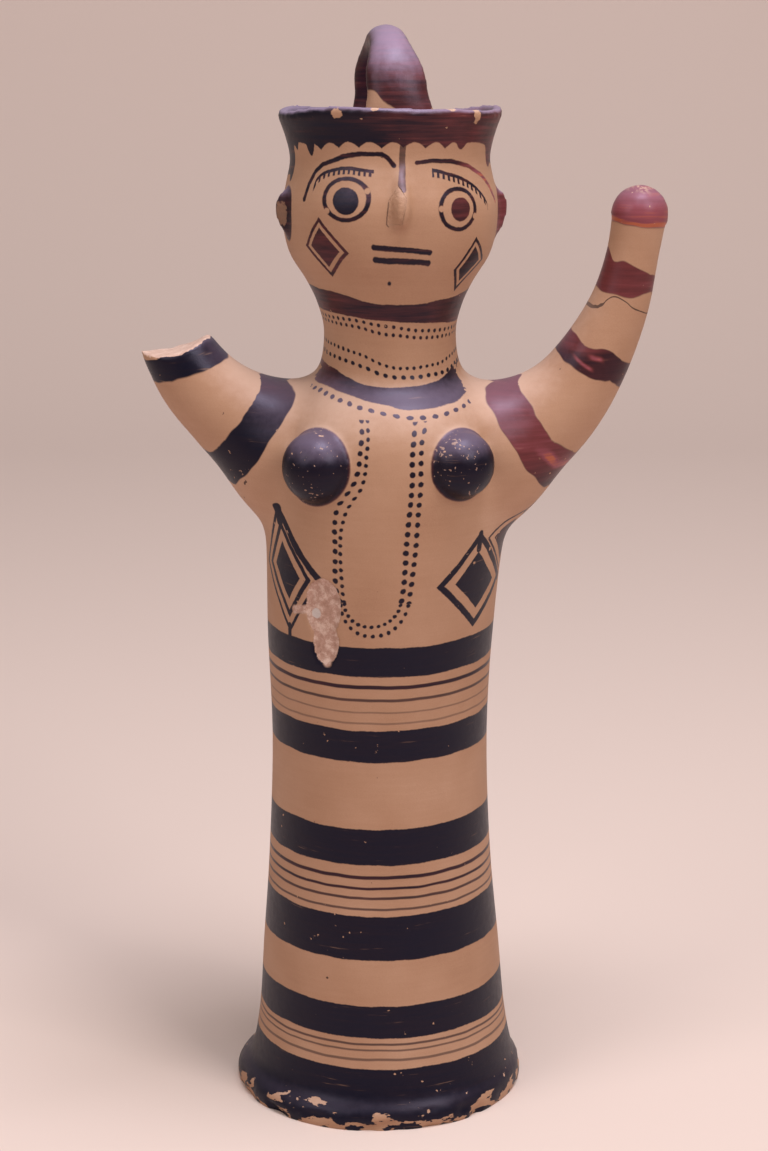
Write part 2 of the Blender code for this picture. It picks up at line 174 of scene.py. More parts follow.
def wall_line():
    """The outside of the thrown wall, from the foot to the crown's lip, as (radius, height)."""
    skirt = WAIST_HEIGHT - FOOT_RISE
    neck_flare = NECK_RADIUS + 0.12 * (BUST_RADIUS - NECK_RADIUS)
    jaw = NECK_RADIUS + 0.42 * (CHEEK_RADIUS - NECK_RADIUS)
    stations = [
        (FOOT_RADIUS - FOOT_ROUNDING, 0.0),
        (FOOT_RADIUS, 0.25 * FOOT_RISE),
        (between(HEM_RADIUS, FOOT_RADIUS, 0.70), 0.60 * FOOT_RISE),
        (HEM_RADIUS, FOOT_RISE),
        (between(WAIST_RADIUS, HEM_RADIUS, 0.68), FOOT_RISE + 0.14 * skirt),
        (between(WAIST_RADIUS, HEM_RADIUS, 0.48), FOOT_RISE + 0.34 * skirt),
        (between(WAIST_RADIUS, HEM_RADIUS, 0.16), FOOT_RISE + 0.64 * skirt),
        (WAIST_RADIUS, WAIST_HEIGHT),
        (between(WAIST_RADIUS, BUST_RADIUS, 0.46), between(WAIST_HEIGHT, BUST_HEIGHT, 0.45)),
        (between(WAIST_RADIUS, BUST_RADIUS, 0.94), between(WAIST_HEIGHT, BUST_HEIGHT, 0.78)),
        (BUST_RADIUS, BUST_HEIGHT),
        (between(NECK_RADIUS, BUST_RADIUS, 0.90), between(BUST_HEIGHT, SHOULDER_HEIGHT, 0.62)),
        (between(NECK_RADIUS, BUST_RADIUS, 0.60), SHOULDER_HEIGHT),
        (neck_flare, between(SHOULDER_HEIGHT, NECK_HEIGHT, 0.40)),
        (NECK_RADIUS, NECK_HEIGHT),
        (between(NECK_RADIUS, jaw, 0.35), between(NECK_HEIGHT, CHEEK_HEIGHT, 0.24)),
        (jaw, between(NECK_HEIGHT, CHEEK_HEIGHT, 0.44)),
        (between(jaw, CHEEK_RADIUS, 0.72), between(NECK_HEIGHT, CHEEK_HEIGHT, 0.68)),
        (CHEEK_RADIUS, CHEEK_HEIGHT),
        (between(BROW_RADIUS, CHEEK_RADIUS, 0.42), between(CHEEK_HEIGHT, BROW_HEIGHT, 0.58)),
        (BROW_RADIUS, BROW_HEIGHT),
        (between(BROW_RADIUS, LIP_RADIUS, 0.42), between(BROW_HEIGHT, LIP_HEIGHT, 0.48)),
        (LIP_RADIUS, LIP_HEIGHT - 0.6 * LIP_THICKNESS),
    ]
    return through([Vector(station) for station in stations], 5)


def radius_at(height):
    """The thrown wall's outer radius at a height."""
    line = wall_line()
    for low, high in zip(line, line[1:]):
        if low.y <= height <= high.y:
            return between(low.x, high.x, (height - low.y) / (high.y - low.y))
    return line[-1].x if height > line[-1].y else line[0].x


def drift_at(height):
    """How far the body's axis has moved to her left at a height."""
    swayed = eased(0.0, 0.8 * WAIST_HEIGHT, height) - eased(*DRIFT_HEIGHT, height)
    return NECK_DRIFT * eased(*DRIFT_HEIGHT, height) - WAIST_SWAY * swayed


def posed(point):
    """A point of the straight figure, in the place that the neck's drift and lean give it."""
    x, y, height = point
    x += drift_at(height)
    low, high = LEAN_HEIGHT
    above = height - low
    if above <= 0:
        return Vector((x, y, height))
    bend = HEAD_LEAN / (high - low)
    angle = min(above * bend, HEAD_LEAN)
    rest = max(0.0, height - high)
    back = (1 - math.cos(angle)) / bend + rest * math.sin(angle)
    up = low + math.sin(angle) / bend + rest * math.cos(angle)
    return Vector((x, back + y * math.cos(angle), up - y * math.sin(angle)))


def pose(shape):
    for vert in shape.verts:
        vert.co = posed(vert.co)


def spun(outline, steps):
    """A closed solid turned from an outline that starts and ends on the axis."""
    shape = bmesh.new()
    verts = [shape.verts.new((radius, 0, height)) for radius, height in outline]
    edges = [shape.edges.new(pair) for pair in zip(verts, verts[1:])]
    bmesh.ops.spin(
        shape,
        geom=verts + edges,
        axis=(0, 0, 1),
        cent=(0, 0, 0),
        angle=math.tau,
        steps=steps,
        use_merge=True,
    )
    bmesh.ops.remove_doubles(shape, verts=shape.verts, dist=1e-6)
    bmesh.ops.recalc_face_normals(shape, faces=shape.faces)
    return shape


def swept(stations, sides):
    """A closed solid through rings, each given as centre, direction, wide axis and two radii."""
    shape = bmesh.new()
    rings = []
    for centre, along, wide, (width, depth) in stations:
        along = along.normalized()
        across = (wide - along * wide.dot(along)).normalized()
        beside = along.cross(across)
        ring = []
        for side in range(sides):
            angle = math.tau * side / sides
            reach = width * math.cos(angle) * across + depth * math.sin(angle) * beside
            ring.append(shape.verts.new(centre + reach))
        rings.append(ring)
    for low, high in zip(rings, rings[1:]):
        for side in range(sides):
            after = (side + 1) % sides
            shape.faces.new((low[side], low[after], high[after], high[side]))
    shape.faces.new(rings[0][::-1])
    shape.faces.new(rings[-1])
    bmesh.ops.recalc_face_normals(shape, faces=shape.faces)
    return shape


def body():
    """The thrown body, closed under the foot and over the crown, before it is hollowed."""
    line = wall_line()
    lip_inner = LIP_RADIUS - LIP_THICKNESS
    floor = LIP_HEIGHT - DISH_DEPTH
    over = [
        (LIP_RADIUS - 0.12 * LIP_THICKNESS, LIP_HEIGHT - 0.18 * LIP_THICKNESS),
        (LIP_RADIUS - 0.45 * LIP_THICKNESS, LIP_HEIGHT),
        (lip_inner + 0.12 * LIP_THICKNESS, LIP_HEIGHT - 0.25 * LIP_THICKNESS),
        (lip_inner - DISH_CORNER[1], between(floor, LIP_HEIGHT, 0.40)),
        (lip_inner - DISH_CORNER[0], floor + DISH_CORNER[1]),
        (0.5 * lip_inner, floor),
        (0, floor),
    ]
    under = [(0, -CLEAR), (FOOT_RADIUS - FOOT_ROUNDING, -CLEAR)]
    shape = spun(under + [tuple(point) for point in line] + over, SPIN_STEPS)
    for vert in shape.verts:
        angle = math.atan2(vert.co.y, vert.co.x)
        rim = eased(0.8, 1.0, vert.co.z / LIP_HEIGHT) * eased(0.7, 1.0, vert.co.xy.length / LIP_RADIUS)
        for count, start, rise in LIP_WAVES:
            vert.co.z += rim * rise * math.sin(count * angle + start)
        foot = 1 - eased(0.3 * FOOT_RISE, FOOT_RISE, vert.co.z)
        wave = noise.noise(Vector((2.2 * math.cos(angle), 2.2 * math.sin(angle), 0.4)))
        vert.co.xy *= 1 + FOOT_WAVER * foot * wave
        vert.co.x -= FOOT_SHIFT * foot
    pose(shape)
    return shape


def arm(side):
    """One raised arm, side -1 for her right and +1 for her left, with its rounded hand."""
    points = [Vector(station) for station in ARM_STATIONS]
    line = through(points, 4)
    wrist = points[-1]
    palm = HAND_HEIGHT - wrist.y
    for turn in (0.35, 0.65, 0.88, 0.99):
        line.append(
            Vector((wrist.x + 0.10 * palm * turn, wrist.y + palm * turn, wrist.z * math.sqrt(1 - turn**2)))
        )
    shoulder = drift_at(SHOULDER_HEIGHT) - (LEFT_ARM_NEARER if side > 0 else 0)
    stations = []
    if side < 0:
        for station in line:
            lift = eased(*ELBOW_STARTS, station.x) * (1 - eased(*ELBOW_ENDS, station.x))
            station.y += RIGHT_ELBOW_LIFT * lift
            station.z -= 0.5 * RIGHT_ELBOW_LIFT * lift
    for index, (out, up, radius) in enumerate(line):
        before, after = line[max(index - 1, 0)], line[min(index + 1, len(line) - 1)]
        along = Vector((side * (after.x - before.x), 0, after.y - before.y))
        centre = Vector((side * out + shoulder, 0, up))
        stations.append((centre, along, Vector((0, 1, 0)), (min(radius, ARM_DEPTH), radius)))
    shape = swept(stations, 32)
    if side < 0:
        broken_end = Vector((shoulder - BREAK_CENTRE, 0, BREAK_HEIGHT))
        cut_off(shape, broken_end, Vector((*BREAK_SLOPE, 1)))
    return shape


def ball(radii, centre, turn, steps=(32, 16)):
    shape = bmesh.new()
    place = Matrix.Translation(centre) @ turn.to_4x4() @ Matrix.Diagonal((*radii, 1))
    bmesh.ops.create_uvsphere(
        shape, u_segments=steps[0], v_segments=steps[1], radius=1, matrix=place
    )
    return shape


def breast_centre(side, drift=0.0):
    """The middle of a breast's ball of clay, on the straight figure unless a drift is given."""
    radius, height = BREAST_RADIUS[side], BREAST_HEIGHT[side]
    out = side * BREAST_SPREAD
    depth = math.sqrt(radius_at(height) ** 2 - out**2)
    return Vector((out + drift, -depth + 0.10 * radius, height))


def breast(side):
    """A painted knob of clay, pressed onto the chest."""
    radius, height = BREAST_RADIUS[side], BREAST_HEIGHT[side]
    turn = Matrix.Rotation(math.asin(side * BREAST_SPREAD / radius_at(height)), 3, "Z")
    centre = breast_centre(side, drift_at(height))
    return ball((radius, 0.95 * radius, radius), centre, turn)


def on_head(turn, height, out=0.0):
    """A point on the head's wall, turned from the middle of the face, before the pose."""
    angle = HEAD_TURN + turn - math.pi / 2
    reach = radius_at(height) + out
    return Vector((reach * math.cos(angle), reach * math.sin(angle), height))


def ear(side):
    """A flat oval lug with a thumbed hollow in its front."""
    turn = Matrix.Rotation(HEAD_TURN - side * EAR_TWIST, 3, "Z")
    tilt = Matrix.Rotation(side * EAR_TILT, 3, "Y")
    centre = on_head(side * EAR_PLACES[side], EAR_HEIGHT, -EAR_SINK)
    radii = (EAR_WIDTH / 2, EAR_THICKNESS / 2, EAR_LENGTH / 2)
    shape = ball(radii, centre, turn @ tilt, (24, 16))
    out = turn @ Vector((side, 0, 0))
    for vert in shape.verts:
        away = vert.co - (centre + 0.15 * EAR_WIDTH * out)
        near = max(0.0, 1 - (away.xz.length / (0.42 * EAR_LENGTH)) ** 2)
        if away.dot(turn @ Vector((0, -1, 0))) > 0:
            vert.co.y += 0.45 * EAR_THICKNESS * near
    pose(shape)
    return shape


def nose():
    """A pinched ridge from the brow, whose tip is worn to a flat facet."""
    stations = []
    steps = 14
    for step in range(steps + 1):
        share = step / steps
        height = between(NOSE_TOP, NOSE_TIP, share)
        swell = math.sin(math.pi * min(1.0, 0.06 + 0.86 * share) ** 1.5) ** 0.8
        width = NOSE_WIDTH / 2 * between(0.55, 1.0, share) * max(0.25, swell)
        reach = NOSE_RELIEF * between(0.35, 1.0, share) * max(0.20, swell)
        centre = on_head(0, height)
        wide = Vector((math.cos(HEAD_TURN), math.sin(HEAD_TURN), 0))
        stations.append((centre, Vector((0, 0, -1)), wide, (width, reach)))
    shape = swept(stations, 20)
    facet = on_head(0, between(NOSE_TOP, NOSE_TIP, NOSE_FACET), NOSE_FACET * NOSE_RELIEF)
    facing = Matrix.Rotation(HEAD_TURN, 3, "Z") @ Vector(NOSE_FACET_FACING)
    cut_off(shape, facet, facing)
    pose(shape)
    return shape


def loop():
    """The strap of clay that arches over the crown from front to back."""
    floor = LIP_HEIGHT - DISH_DEPTH
    rise = LIP_HEIGHT + LOOP_RISE - LOOP_THICKNESS / 2 - floor
    stations = []
    steps = 28
    turn = Matrix.Rotation(HEAD_TURN, 3, "Z")
    for step in range(steps + 1):
        angle = math.pi * step / steps
        forward, up = -math.cos(angle), math.sin(angle) ** LOOP_SQUARENESS
        along = Vector((0, math.sin(angle) + 0.05, 1.25 * math.cos(angle)))
        aside = between(LOOP_ASIDE, -LOOP_ASIDE, up)
        centre = turn @ Vector((aside, forward * LOOP_SPAN / 2, floor - LOOP_ROOT + rise * up))
        foot = 1 + 0.30 * (1 - eased(0.0, 0.45, up))
        top = 1 - 0.36 * eased(0.45, 1.0, up) ** 2
        radii = (LOOP_WIDTH / 2 * foot * top, LOOP_THICKNESS / 2)
        stations.append((centre, turn @ along, turn @ Vector((1, 0, 0)), radii))
    shape = swept(stations, 20)
    pose(shape)
    return shape


def cut_off(shape, point, facing):
    """Takes away what lies beyond a plane, and closes the cut."""
    cut = bmesh.ops.bisect_plane(
        shape,
        geom=shape.verts[:] + shape.edges[:] + shape.faces[:],
        plane_co=point,
        plane_no=facing,
        clear_outer=True,
    )
    rim = [part for part in cut["geom_cut"] if isinstance(part, bmesh.types.BMEdge)]
    bmesh.ops.holes_fill(shape, edges=rim, sides=0)
    bmesh.ops.recalc_face_normals(shape, faces=shape.faces)


def as_object(name, shape):
    mesh = bpy.data.meshes.new(name)
    shape.to_mesh(mesh)
    shape.free()
    made = bpy.data.objects.new(name, mesh)
    bpy.context.collection.objects.link(made)
    return made


def evaluated(made):
    """The object's mesh with its modifiers applied, as a bmesh. The object itself is removed."""
    bpy.context.view_layer.update()
    graph = bpy.context.evaluated_depsgraph_get()
    shape = bmesh.new()
    shape.from_object(made, graph)
    mesh = made.data
    bpy.data.objects.remove(made)
    bpy.data.meshes.remove(mesh)
    return shape


def worked_together(shapes):
    """The lumps of clay made one skin, with the joins between them smoothed by hand."""
    together = bmesh.new()
    for shape in shapes:
        lump = bpy.data.meshes.new("lump")
        shape.to_mesh(lump)
        shape.free()
        together.from_mesh(lump)
        bpy.data.meshes.remove(lump)
    made = as_object("clay", together)
    skin = made.modifiers.new("one skin", "REMESH")
    skin.mode = "VOXEL"
    skin.voxel_size = CLAY_GRAIN
    made = as_object("skin", evaluated(made))
    for name, rounds, share in (
        ("wiped", 3, wiped),
        ("ear joins", 8, ear_joins),
        ("arm joins", 90, arm_joins),
        ("nose join", 1, nose_join),
    ):
        rounds = max(1, round(rounds * (SOLID_GRAIN / CLAY_GRAIN) ** 2))
        group = made.vertex_groups.new(name=name)
        for vert in made.data.vertices:
            group.add([vert.index], share(vert.co), "REPLACE")
        smooth = made.modifiers.new(name, "SMOOTH")
        smooth.factor = 0.5
        smooth.iterations = rounds
        smooth.vertex_group = name
    return evaluated(made)


def wiped(point):
    """Less on the crown, whose lip stays crisp."""
    return 1 - 0.65 * eased(LIP_HEIGHT - 2.5 * DISH_DEPTH, LIP_HEIGHT - DISH_DEPTH, point.z)


def ear_joins(point):
    """The lugs of the ears, which are pressed smooth."""
    side = 1 if point.x > 0 else -1
    if abs(point.z - EAR_HEIGHT) > 2 * EAR_LENGTH:
        return 0.0
    lug = on_head(side * EAR_PLACES[side], EAR_HEIGHT, 0.001)
    return 1 - eased(0.8 * EAR_LENGTH, 1.1 * EAR_LENGTH, (point - posed(lug)).length)


def arm_joins(point):
    """Where the arms grow out of the shoulders, clear of the breasts and the neck."""
    side = abs(point.x - drift_at(point.z))
    height = eased(*JOIN_HEIGHTS[:2], point.z) * (1 - eased(*JOIN_HEIGHTS[2:], point.z))
    out = eased(*JOIN_REACH[:2], side) * (1 - eased(*JOIN_REACH[2:], side))
    chest = Vector((BREAST_SPREAD, BREAST_HEIGHT[-1])) - Vector((side, point.z))
    clear = eased(1.0 * BREAST_RADIUS[-1], 1.4 * BREAST_RADIUS[-1], chest.length)
    return height * out * (clear if point.y < 0 else 1)


def nose_join(point):
    front = eased(0.5 * CHEEK_RADIUS, 0.8 * CHEEK_RADIUS, -point.y)
    low = eased(NOSE_TIP - 1.3 * NOSE_MARGIN, NOSE_TIP - 0.5 * NOSE_MARGIN, point.z)
    return front * low * (1 - eased(NOSE_TOP, NOSE_TOP + NOSE_MARGIN, point.z))


def cavity():
    """What the potter's hand leaves empty, from the open foot up into the head."""
    top = LIP_HEIGHT - DISH_DEPTH - WALL
    outline = [(0, -CLEAR)]
    for step in range(CAVITY_LEVELS + 1):
        height = between(-CLEAR, top, (step / CAVITY_LEVELS) ** 0.85)
        inside = min(radius_at(max(0.0, height + share * WALL)) for share in (-1, 0, 1)) - WALL
        closing = math.sqrt(max(0.0, 1 - eased(top - 0.014, top, height) ** 2))
        outline.append((inside * max(0.02, closing), height))
    outline.append((0, top))
    shape = spun(outline, CAVITY_STEPS)
    pose(shape)
    return shape


def stand_on_origin(shape):
    """Moves the shape so that the bottom centre of its box is the origin, and says how far."""
    low = Vector(min(vert.co[axis] for vert in shape.verts) for axis in range(3))
    high = Vector(max(vert.co[axis] for vert in shape.verts) for axis in range(3))
    move = Vector((-(low.x + high.x) / 2, -(low.y + high.y) / 2, -low.z))
    bmesh.ops.translate(shape, verts=shape.verts, vec=move)
    return move


# Where the arms begin and the head is clear of them, as distance from the middle and height
ARM_SIDE = (0.018, 0.2115)
HEAD_SIDE = (0.042, 0.2585)
ARM_END = 0.020
# The flaked patch's edge and unevenness, and the chips of the foot: their top, depth and grain
FLAKE_EDGE = (0.84, 1.06)
FLAKE_GRAIN = 300
FLAKE_UNEVEN = 0.35
CHIP_TOP = 0.0075
CHIP_DEPTH = 0.0012
CHIP_GRAIN = 120
CHIP_START = 0.05
CHIP_GAIN = 2.2
# The broken end: its roughness and grain, and the dip in it, as far out and down as it reaches
BREAK_ROUGHNESS = 0.0004
BREAK_GRAIN = 260
BREAK_SKIN = 0.0007
BREAK_DIP = 0.0026
BREAK_HALF = 0.0112
BREAK_REACH = 0.009
BREAK_LOW = 0.02
HAND_EDGE = (-0.0005, 0.0015)


def straightened(point):
    """Where a point of the posed figure lies on the straight one."""
    low, high = LEAN_HEIGHT
    bend = HEAD_LEAN / (high - low)
    reach = 1 / bend
    x, y, height = point
    if height > low - 0.3 * y:
        angle = math.atan2(height - low, reach - y)
        if angle > HEAD_LEAN:
            along = Vector((math.sin(HEAD_LEAN), math.cos(HEAD_LEAN)))
            top = Vector((reach * (1 - along.y), low + reach * along.x))
            offset = Vector((y, height)) - top
            y = offset.x * along.y - offset.y * along.x
            height = high + offset.dot(along)
        elif angle > 0:
            y = reach - math.hypot(height - low, reach - y)
            height = low + angle * reach
    return Vector((x - drift_at(height), y, height))


def arm_line(side):
    """An arm's centre line in the plane of the shoulders, from its middle to past the hand."""
    points = through([Vector(station) for station in ARM_STATIONS], 4)
    shoulder = drift_at(SHOULDER_HEIGHT) - (LEFT_ARM_NEARER if side > 0 else 0)
    line = [Vector((side * out + shoulder, up)) for out, up, _ in points]
    line.append(line[-1] + (line[-1] - line[-2]).normalized() * ARM_END)
    return line


def along_arm(line, point):
    """How far along the line the nearest place to a point is."""
    nearest, found, walked = 1.0, 0.0, 0.0
    spot = Vector((point.x, point.z))
    for start, end in zip(line, line[1:]):
        step = end - start
        share = min(1.0, max(0.0, (spot - start).dot(step) / step.length_squared))
        away = (spot - start - step * share).length
        if away < nearest:
            nearest, found = away, walked + share * step.length
        walked += step.length
    return found


def worn_away(straight):
    """How much of the wall is lost at a place of the straight figure: the flake and the foot's chips."""
    turn = math.degrees(math.atan2(straight.x, -straight.y))
    height = MM * straight.z
    lost = 0.0
    for (centre, level), (wide, high) in LOST_OVALS:
        reach = math.hypot((turn - centre) * BODY_ARC / wide, (height - level) / high)
        lost = max(lost, 1 - eased(*FLAKE_EDGE, reach))
    lost *= LOST_DEPTH * (1 + FLAKE_UNEVEN * noise.noise(straight * FLAKE_GRAIN))
    spot = Vector((straight.x, straight.y, 2 * straight.z)) * CHIP_GRAIN
    chip = max(0.0, noise.noise(spot) - CHIP_START)
    return lost + CHIP_DEPTH * chip * CHIP_GAIN * (1 - eased(0.3 * CHIP_TOP, CHIP_TOP, straight.z))


def dipped(point):
    """How far the broken end's rim dips towards its middle, and 1 where the point is on the break."""
    if point.x > -HEAD_SIDE[0] or point.z < BREAK_HEIGHT - BREAK_LOW:
        return Vector((0, 0, 0)), 0.0
    shoulder = drift_at(SHOULDER_HEIGHT)
    broken_end = Vector((shoulder - BREAK_CENTRE, 0, BREAK_HEIGHT))
    facing = Vector((*BREAK_SLOPE, 1)).normalized()
    below = -(point - broken_end).dot(facing)
    if below > BREAK_REACH:
        return Vector((0, 0, 0)), 0.0
    across = (point.x - broken_end.x) / BREAK_HALF
    dip = BREAK_DIP * max(0.0, 1 - across * across) * (1 - max(0.0, below) / BREAK_REACH)
    on_break = 1.0 if below < BREAK_SKIN else 0.0
    rough = on_break * BREAK_ROUGHNESS * noise.noise(point * BREAK_GRAIN)
    return facing * (rough - dip), on_break


def weathered(mesh, move):
    """Stores the coordinates that the paint is drawn in, and takes away the clay that is lost."""
    lines = {side: arm_line(side) for side in (-1, 1)}
    places = {"along_arm": [], "broken": [], "upward": [], "inner": []}
    dish_floor = LIP_HEIGHT - DISH_DEPTH - 0.5 * WALL
    straights = []
    normals = [vert.normal.copy() for vert in mesh.vertices]
    for vert, normal in zip(mesh.vertices, normals):
        point = vert.co - move
        straight = straightened(point)
        straights.extend(straight)
        side = 1 if point.x > 0 else -1
        on_head_side = point.z > HEAD_SIDE[1] and abs(point.x) < HEAD_SIDE[0]
        on_arm = abs(point.x) > ARM_SIDE[0] and point.z > ARM_SIDE[1] and not on_head_side
        walked = along_arm(lines[side], point) if on_arm else 0.0
        places["along_arm"].append(walked)
        # How far each point faces up: it places the painted sheen and the painted top light
        places["upward"].append(normal.z)
        shift, on_break = dipped(point)
        places["broken"].append(on_break)
        low, high = (HAND_START / MM + edge for edge in HAND_EDGE)
        swell = eased(low, high, walked) if side > 0 else 0.0
        shift += normal * HAND_SWELL * swell
        across = Vector((straight.x, straight.y, 0))
        outer = straight.z > dish_floor or across.length > radius_at(max(0.0, straight.z)) - 0.5 * WALL
        places["inner"].append(0.0 if outer else 1.0)
        if outer and straight.z < SHOULDER_HEIGHT:
            shift -= across.normalized() * worn_away(straight)
        vert.co += shift
    mesh.attributes.new("straight", "FLOAT_VECTOR", "POINT").data.foreach_set("vector", straights)
    for name, values in places.items():
        mesh.attributes.new(name, "FLOAT", "POINT").data.foreach_set("value", values)


def figurine():
    lumps = [body(), nose(), loop()]
    for side in (-1, 1):
        lumps += [arm(side), breast(side), ear(side)]
    skin = worked_together(lumps)
    cut_off(skin, Vector((0, 0, 0)), Vector((0, 0, -1)))
    move = stand_on_origin(skin)
    made = as_object("painted_figurine", skin)
    shape = cavity()
    bmesh.ops.translate(shape, verts=shape.verts, vec=move)
    hollow = made.modifiers.new("cavity", "BOOLEAN")
    hollow.operation = "DIFFERENCE"
    hollow.object = as_object("cavity", shape)
    hollowed = evaluated(made)
    bpy.data.objects.remove(bpy.data.objects["cavity"])
    made = as_object("painted_figurine", hollowed)
    made.data.shade_smooth()
    weathered(made.data, move)
    return made


# How many millimetres one degree of turn is, on each part of the figure
HEAD_ARC = 0.61
NECK_ARC = 0.41
COLLAR_ARC = 0.55
BODY_ARC = 0.70
MM = 1000

# How far the brush strays from its line, in mm: slowly, and from hair to hair
SHAKE = 1.1
QUIVER = 0.35
SHAKE_GRAIN = (95, 1.0)
QUIVER_GRAIN = (900, 1.0)
# How softly strokes, bands, dots and rings end, in mm or as a share of an oval
STROKE_SOFT = 0.22
BAND_SOFT = 0.2
ARM_SOFT = 0.3
OVAL_EDGE = (1.05, 0.95)

# The slip's red runs from 0 for blue-black through 0.5 for dark red to 1 for orange
BAND_RED = 0.03
BLACK = 0.05
PENDANT_RED = 0.1
LOWER_RING_RED = 0.12
DOT_RED = 0.2
LASH_RED = 0.22
FACE_RED = 0.25
LINE_RED = 0.3
HAND_RED = 0.86
ORANGE = 1.0
# Where it fired redder: from, to, how much redder, and how red it is elsewhere
HAIR_RED = (-45, 60, 0.42, 0.12)
STRAP_RED = (-30, 70, 0.25, 0.42)
LEFT_BROW_RED = (34, 58, 0.60, 0.32)
COLLAR_RED = (20, 95, 0.5, 0.08)
COLLAR_DOT_RED = (35, 90, 0.4, 0.1)
BREAST_RED = (0.99, 1.09, 0.45, 0.08)
SHOULDER_RED = {-1: (0.236, 0.256, 0.25, 0.05), 1: (0.204, 0.236, 0.60, 0.12)}
LEFT_BAND_RED = (36.5, 41.0, 0.32, 0.36)
HAIR_UNEVEN = 0.3

# The head's painted lines, as (degrees of turn from her front, height in mm)
HAIR_EDGE = (
    (-180, 318), (-110, 318), (-84, 321), (-77, 321), (-73, 318.6), (-69.5, 326), (-67, 330.5),
    (-64, 329), (-60, 331.5), (-53.5, 331), (-50, 327.4), (-46, 331.4), (38, 331.6), (43, 329.6),
    (48, 331.8), (64, 331), (71, 326), (75, 323.6), (80, 325), (95, 320), (120, 318), (180, 318),
)
HAIR_FRONT = (175, 105)
HAIR_SOFT = 0.25
SCALLOP_TURN = 12.3
SCALLOP_START = -5.0
SCALLOP_DEPTH = 1.9
SCALLOP_ENDS = (-46, 36, 1.0)
# The strap over the crown: its paint's outer edge, its foot's height, and the bare root in front
STRAP_EDGE = (LOOP_SPAN / 2 + 0.010, LOOP_SPAN / 2 + 0.006)
STRAP_FOOT = (340, 342)
LOOP_ROOT_PATCH = ((-14, 338), (-12, 342), (-7, 348.5), (-2, 344.8), (3, 341.8), (7, 338))
ROOT_EDGE = (0.4, -0.4)
ROOT_FRONT = (-0.004, -0.008)
LIP_CHIPS = (
    ((-28, 341.3), (1.9, 1.5)), ((50, 340.9), (1.7, 2.8)),
    ((-8, 342.6), (1.2, 0.6)), ((33, 342.4), (1.4, 0.7)),
)
CHIP_EDGE = (1.1, 0.85)
CHIP_RAGGED = 0.9
# The eyes: middle, the ring's radii and its gaps, the pupil's middle and radii, and its red
EYES = (
    ((-24, 313.8), (7.7, 6.6), ((-35.0, 310.0), (-12.2, 316.2)), ((-23.8, 313.2), (4.4, 4.3)), 0.10),
    ((38.7, 310.5), (7.1, 6.6), ((27.4, 310.6), (50.2, 307.9)), ((40, 310.4), (3.9, 3.9)), 0.48),
)
EYE_RING = 0.70
EYE_GAP = (0.7, 1.2)
RIGHT_BROW = (
    (-51.9, 313.5), (-50.2, 318.2), (-46, 322.2), (-40.7, 324.7), (-27.8, 327.3), (-16.3, 328.3),
    (-5.0, 328.2), (-1.7, 327.2), (2.2, 324.6),
)
LEFT_BROW = (
    (15.2, 325.3), (24.1, 325.9), (36.5, 325.9), (48.8, 324.4), (60.8, 321.4), (70.0, 317.4), (76, 312.6),
)
BROW_WIDTHS = (1.55, 1.45)
# The lashes: their line, and how far its teeth hang
LASHES = (
    (((-46, 316.6), (-40.6, 321.2), (-31.4, 323.2), (-23.9, 323.7), (-16.7, 323.1), (-8.8, 322.5)), 1.9),
    (((23.8, 322.8), (33.1, 322.0), (44, 320.0), (54, 316.9), (62.6, 311.7)), 2.2),
)
LASH_TEETH = 12
LASH_LINE = (0.80, 0.40)
TOOTH_EDGE = (0.30, 0.16)
NOSE_LINE = ((7.1, 331.5), (6.6, 324.0), (5.9, 317.0))
NOSE_LINE_WIDTH = 2.2
NOSE_LINE_RED = 0.30
NOSE_LINE_COVER = 0.80
NOSE_SCAR = ((4.3, 318.4), (7.9, 314.2), (6.2, 305.6), (-2.0, 305.1), (-0.9, 313.2))
SCAR_EDGE = (0.0, 0.3)
# The dark lines about the scar, a crack by its left edge and a painted shade along its right edge: points,
# width, softness and how dark
NOSE_MARKS = (
    (((-0.7, 312.6), (-1.8, 305.6), (-0.8, 304.8)), 0.35, 0.2, 0.8),
    (((7.0, 313.6), (5.6, 306.0)), 0.5, 0.8, 0.22),
)
MOUTH = (((-8.7, 298.2), (22.5, 296.6)), ((-8.5, 294.6), (22.7, 293.4)))
MOUTH_WIDTH = 1.75
CHIN_DOT = (-0.6, 287.3)
CHIN_DOT_EDGE = (1.0, 0.4)
# The lozenges of the cheeks, each with the red of its slip, and their line and core in mm inside
CHEEKS = (
    (((-40.5, 307.9), (-23.7, 296.4), (-39.9, 288.9), (-52.6, 298.5)), 0.45),
    (((53.1, 301.1), (68.4, 293.6), (52.2, 284.1), (42.4, 291.0)), 0.25),
)
CHEEK_LINE = (-0.1, 1.0, 0.15)
CHEEK_CORE = (2.0, 2.3)
CHIN_BAND_TOP = ((-180, 286), (-62, 284.9), (-17, 281.6), (8, 280.7), (40, 281.6), (90, 284), (180, 286))
CHIN_BAND_FOOT = (
    (-180, 277), (-66, 277.6), (-33, 276.5), (14, 275.3), (45, 274.4), (81, 273.4), (180, 277),
)
CHIN_BAND_RED = (0.3, 0.25)
# The ears: side, the red of its slip, and how bare its hollow is
EARS = ((-1, 0.30, 0.50), (1, 0.72, 0.0))
EAR_PAINT_OUT = 0.001
EAR_PAINT_SIZE = (0.52 * EAR_WIDTH + 0.0012, 0.62 * EAR_THICKNESS + 0.0012, 0.54 * EAR_LENGTH + 0.0008)
EAR_PAINT_EDGE = (1.08, 0.98)
EAR_HOLLOW_EDGE = (0.46, 0.34)
EAR_HOLLOW_RAGGED = 0.5

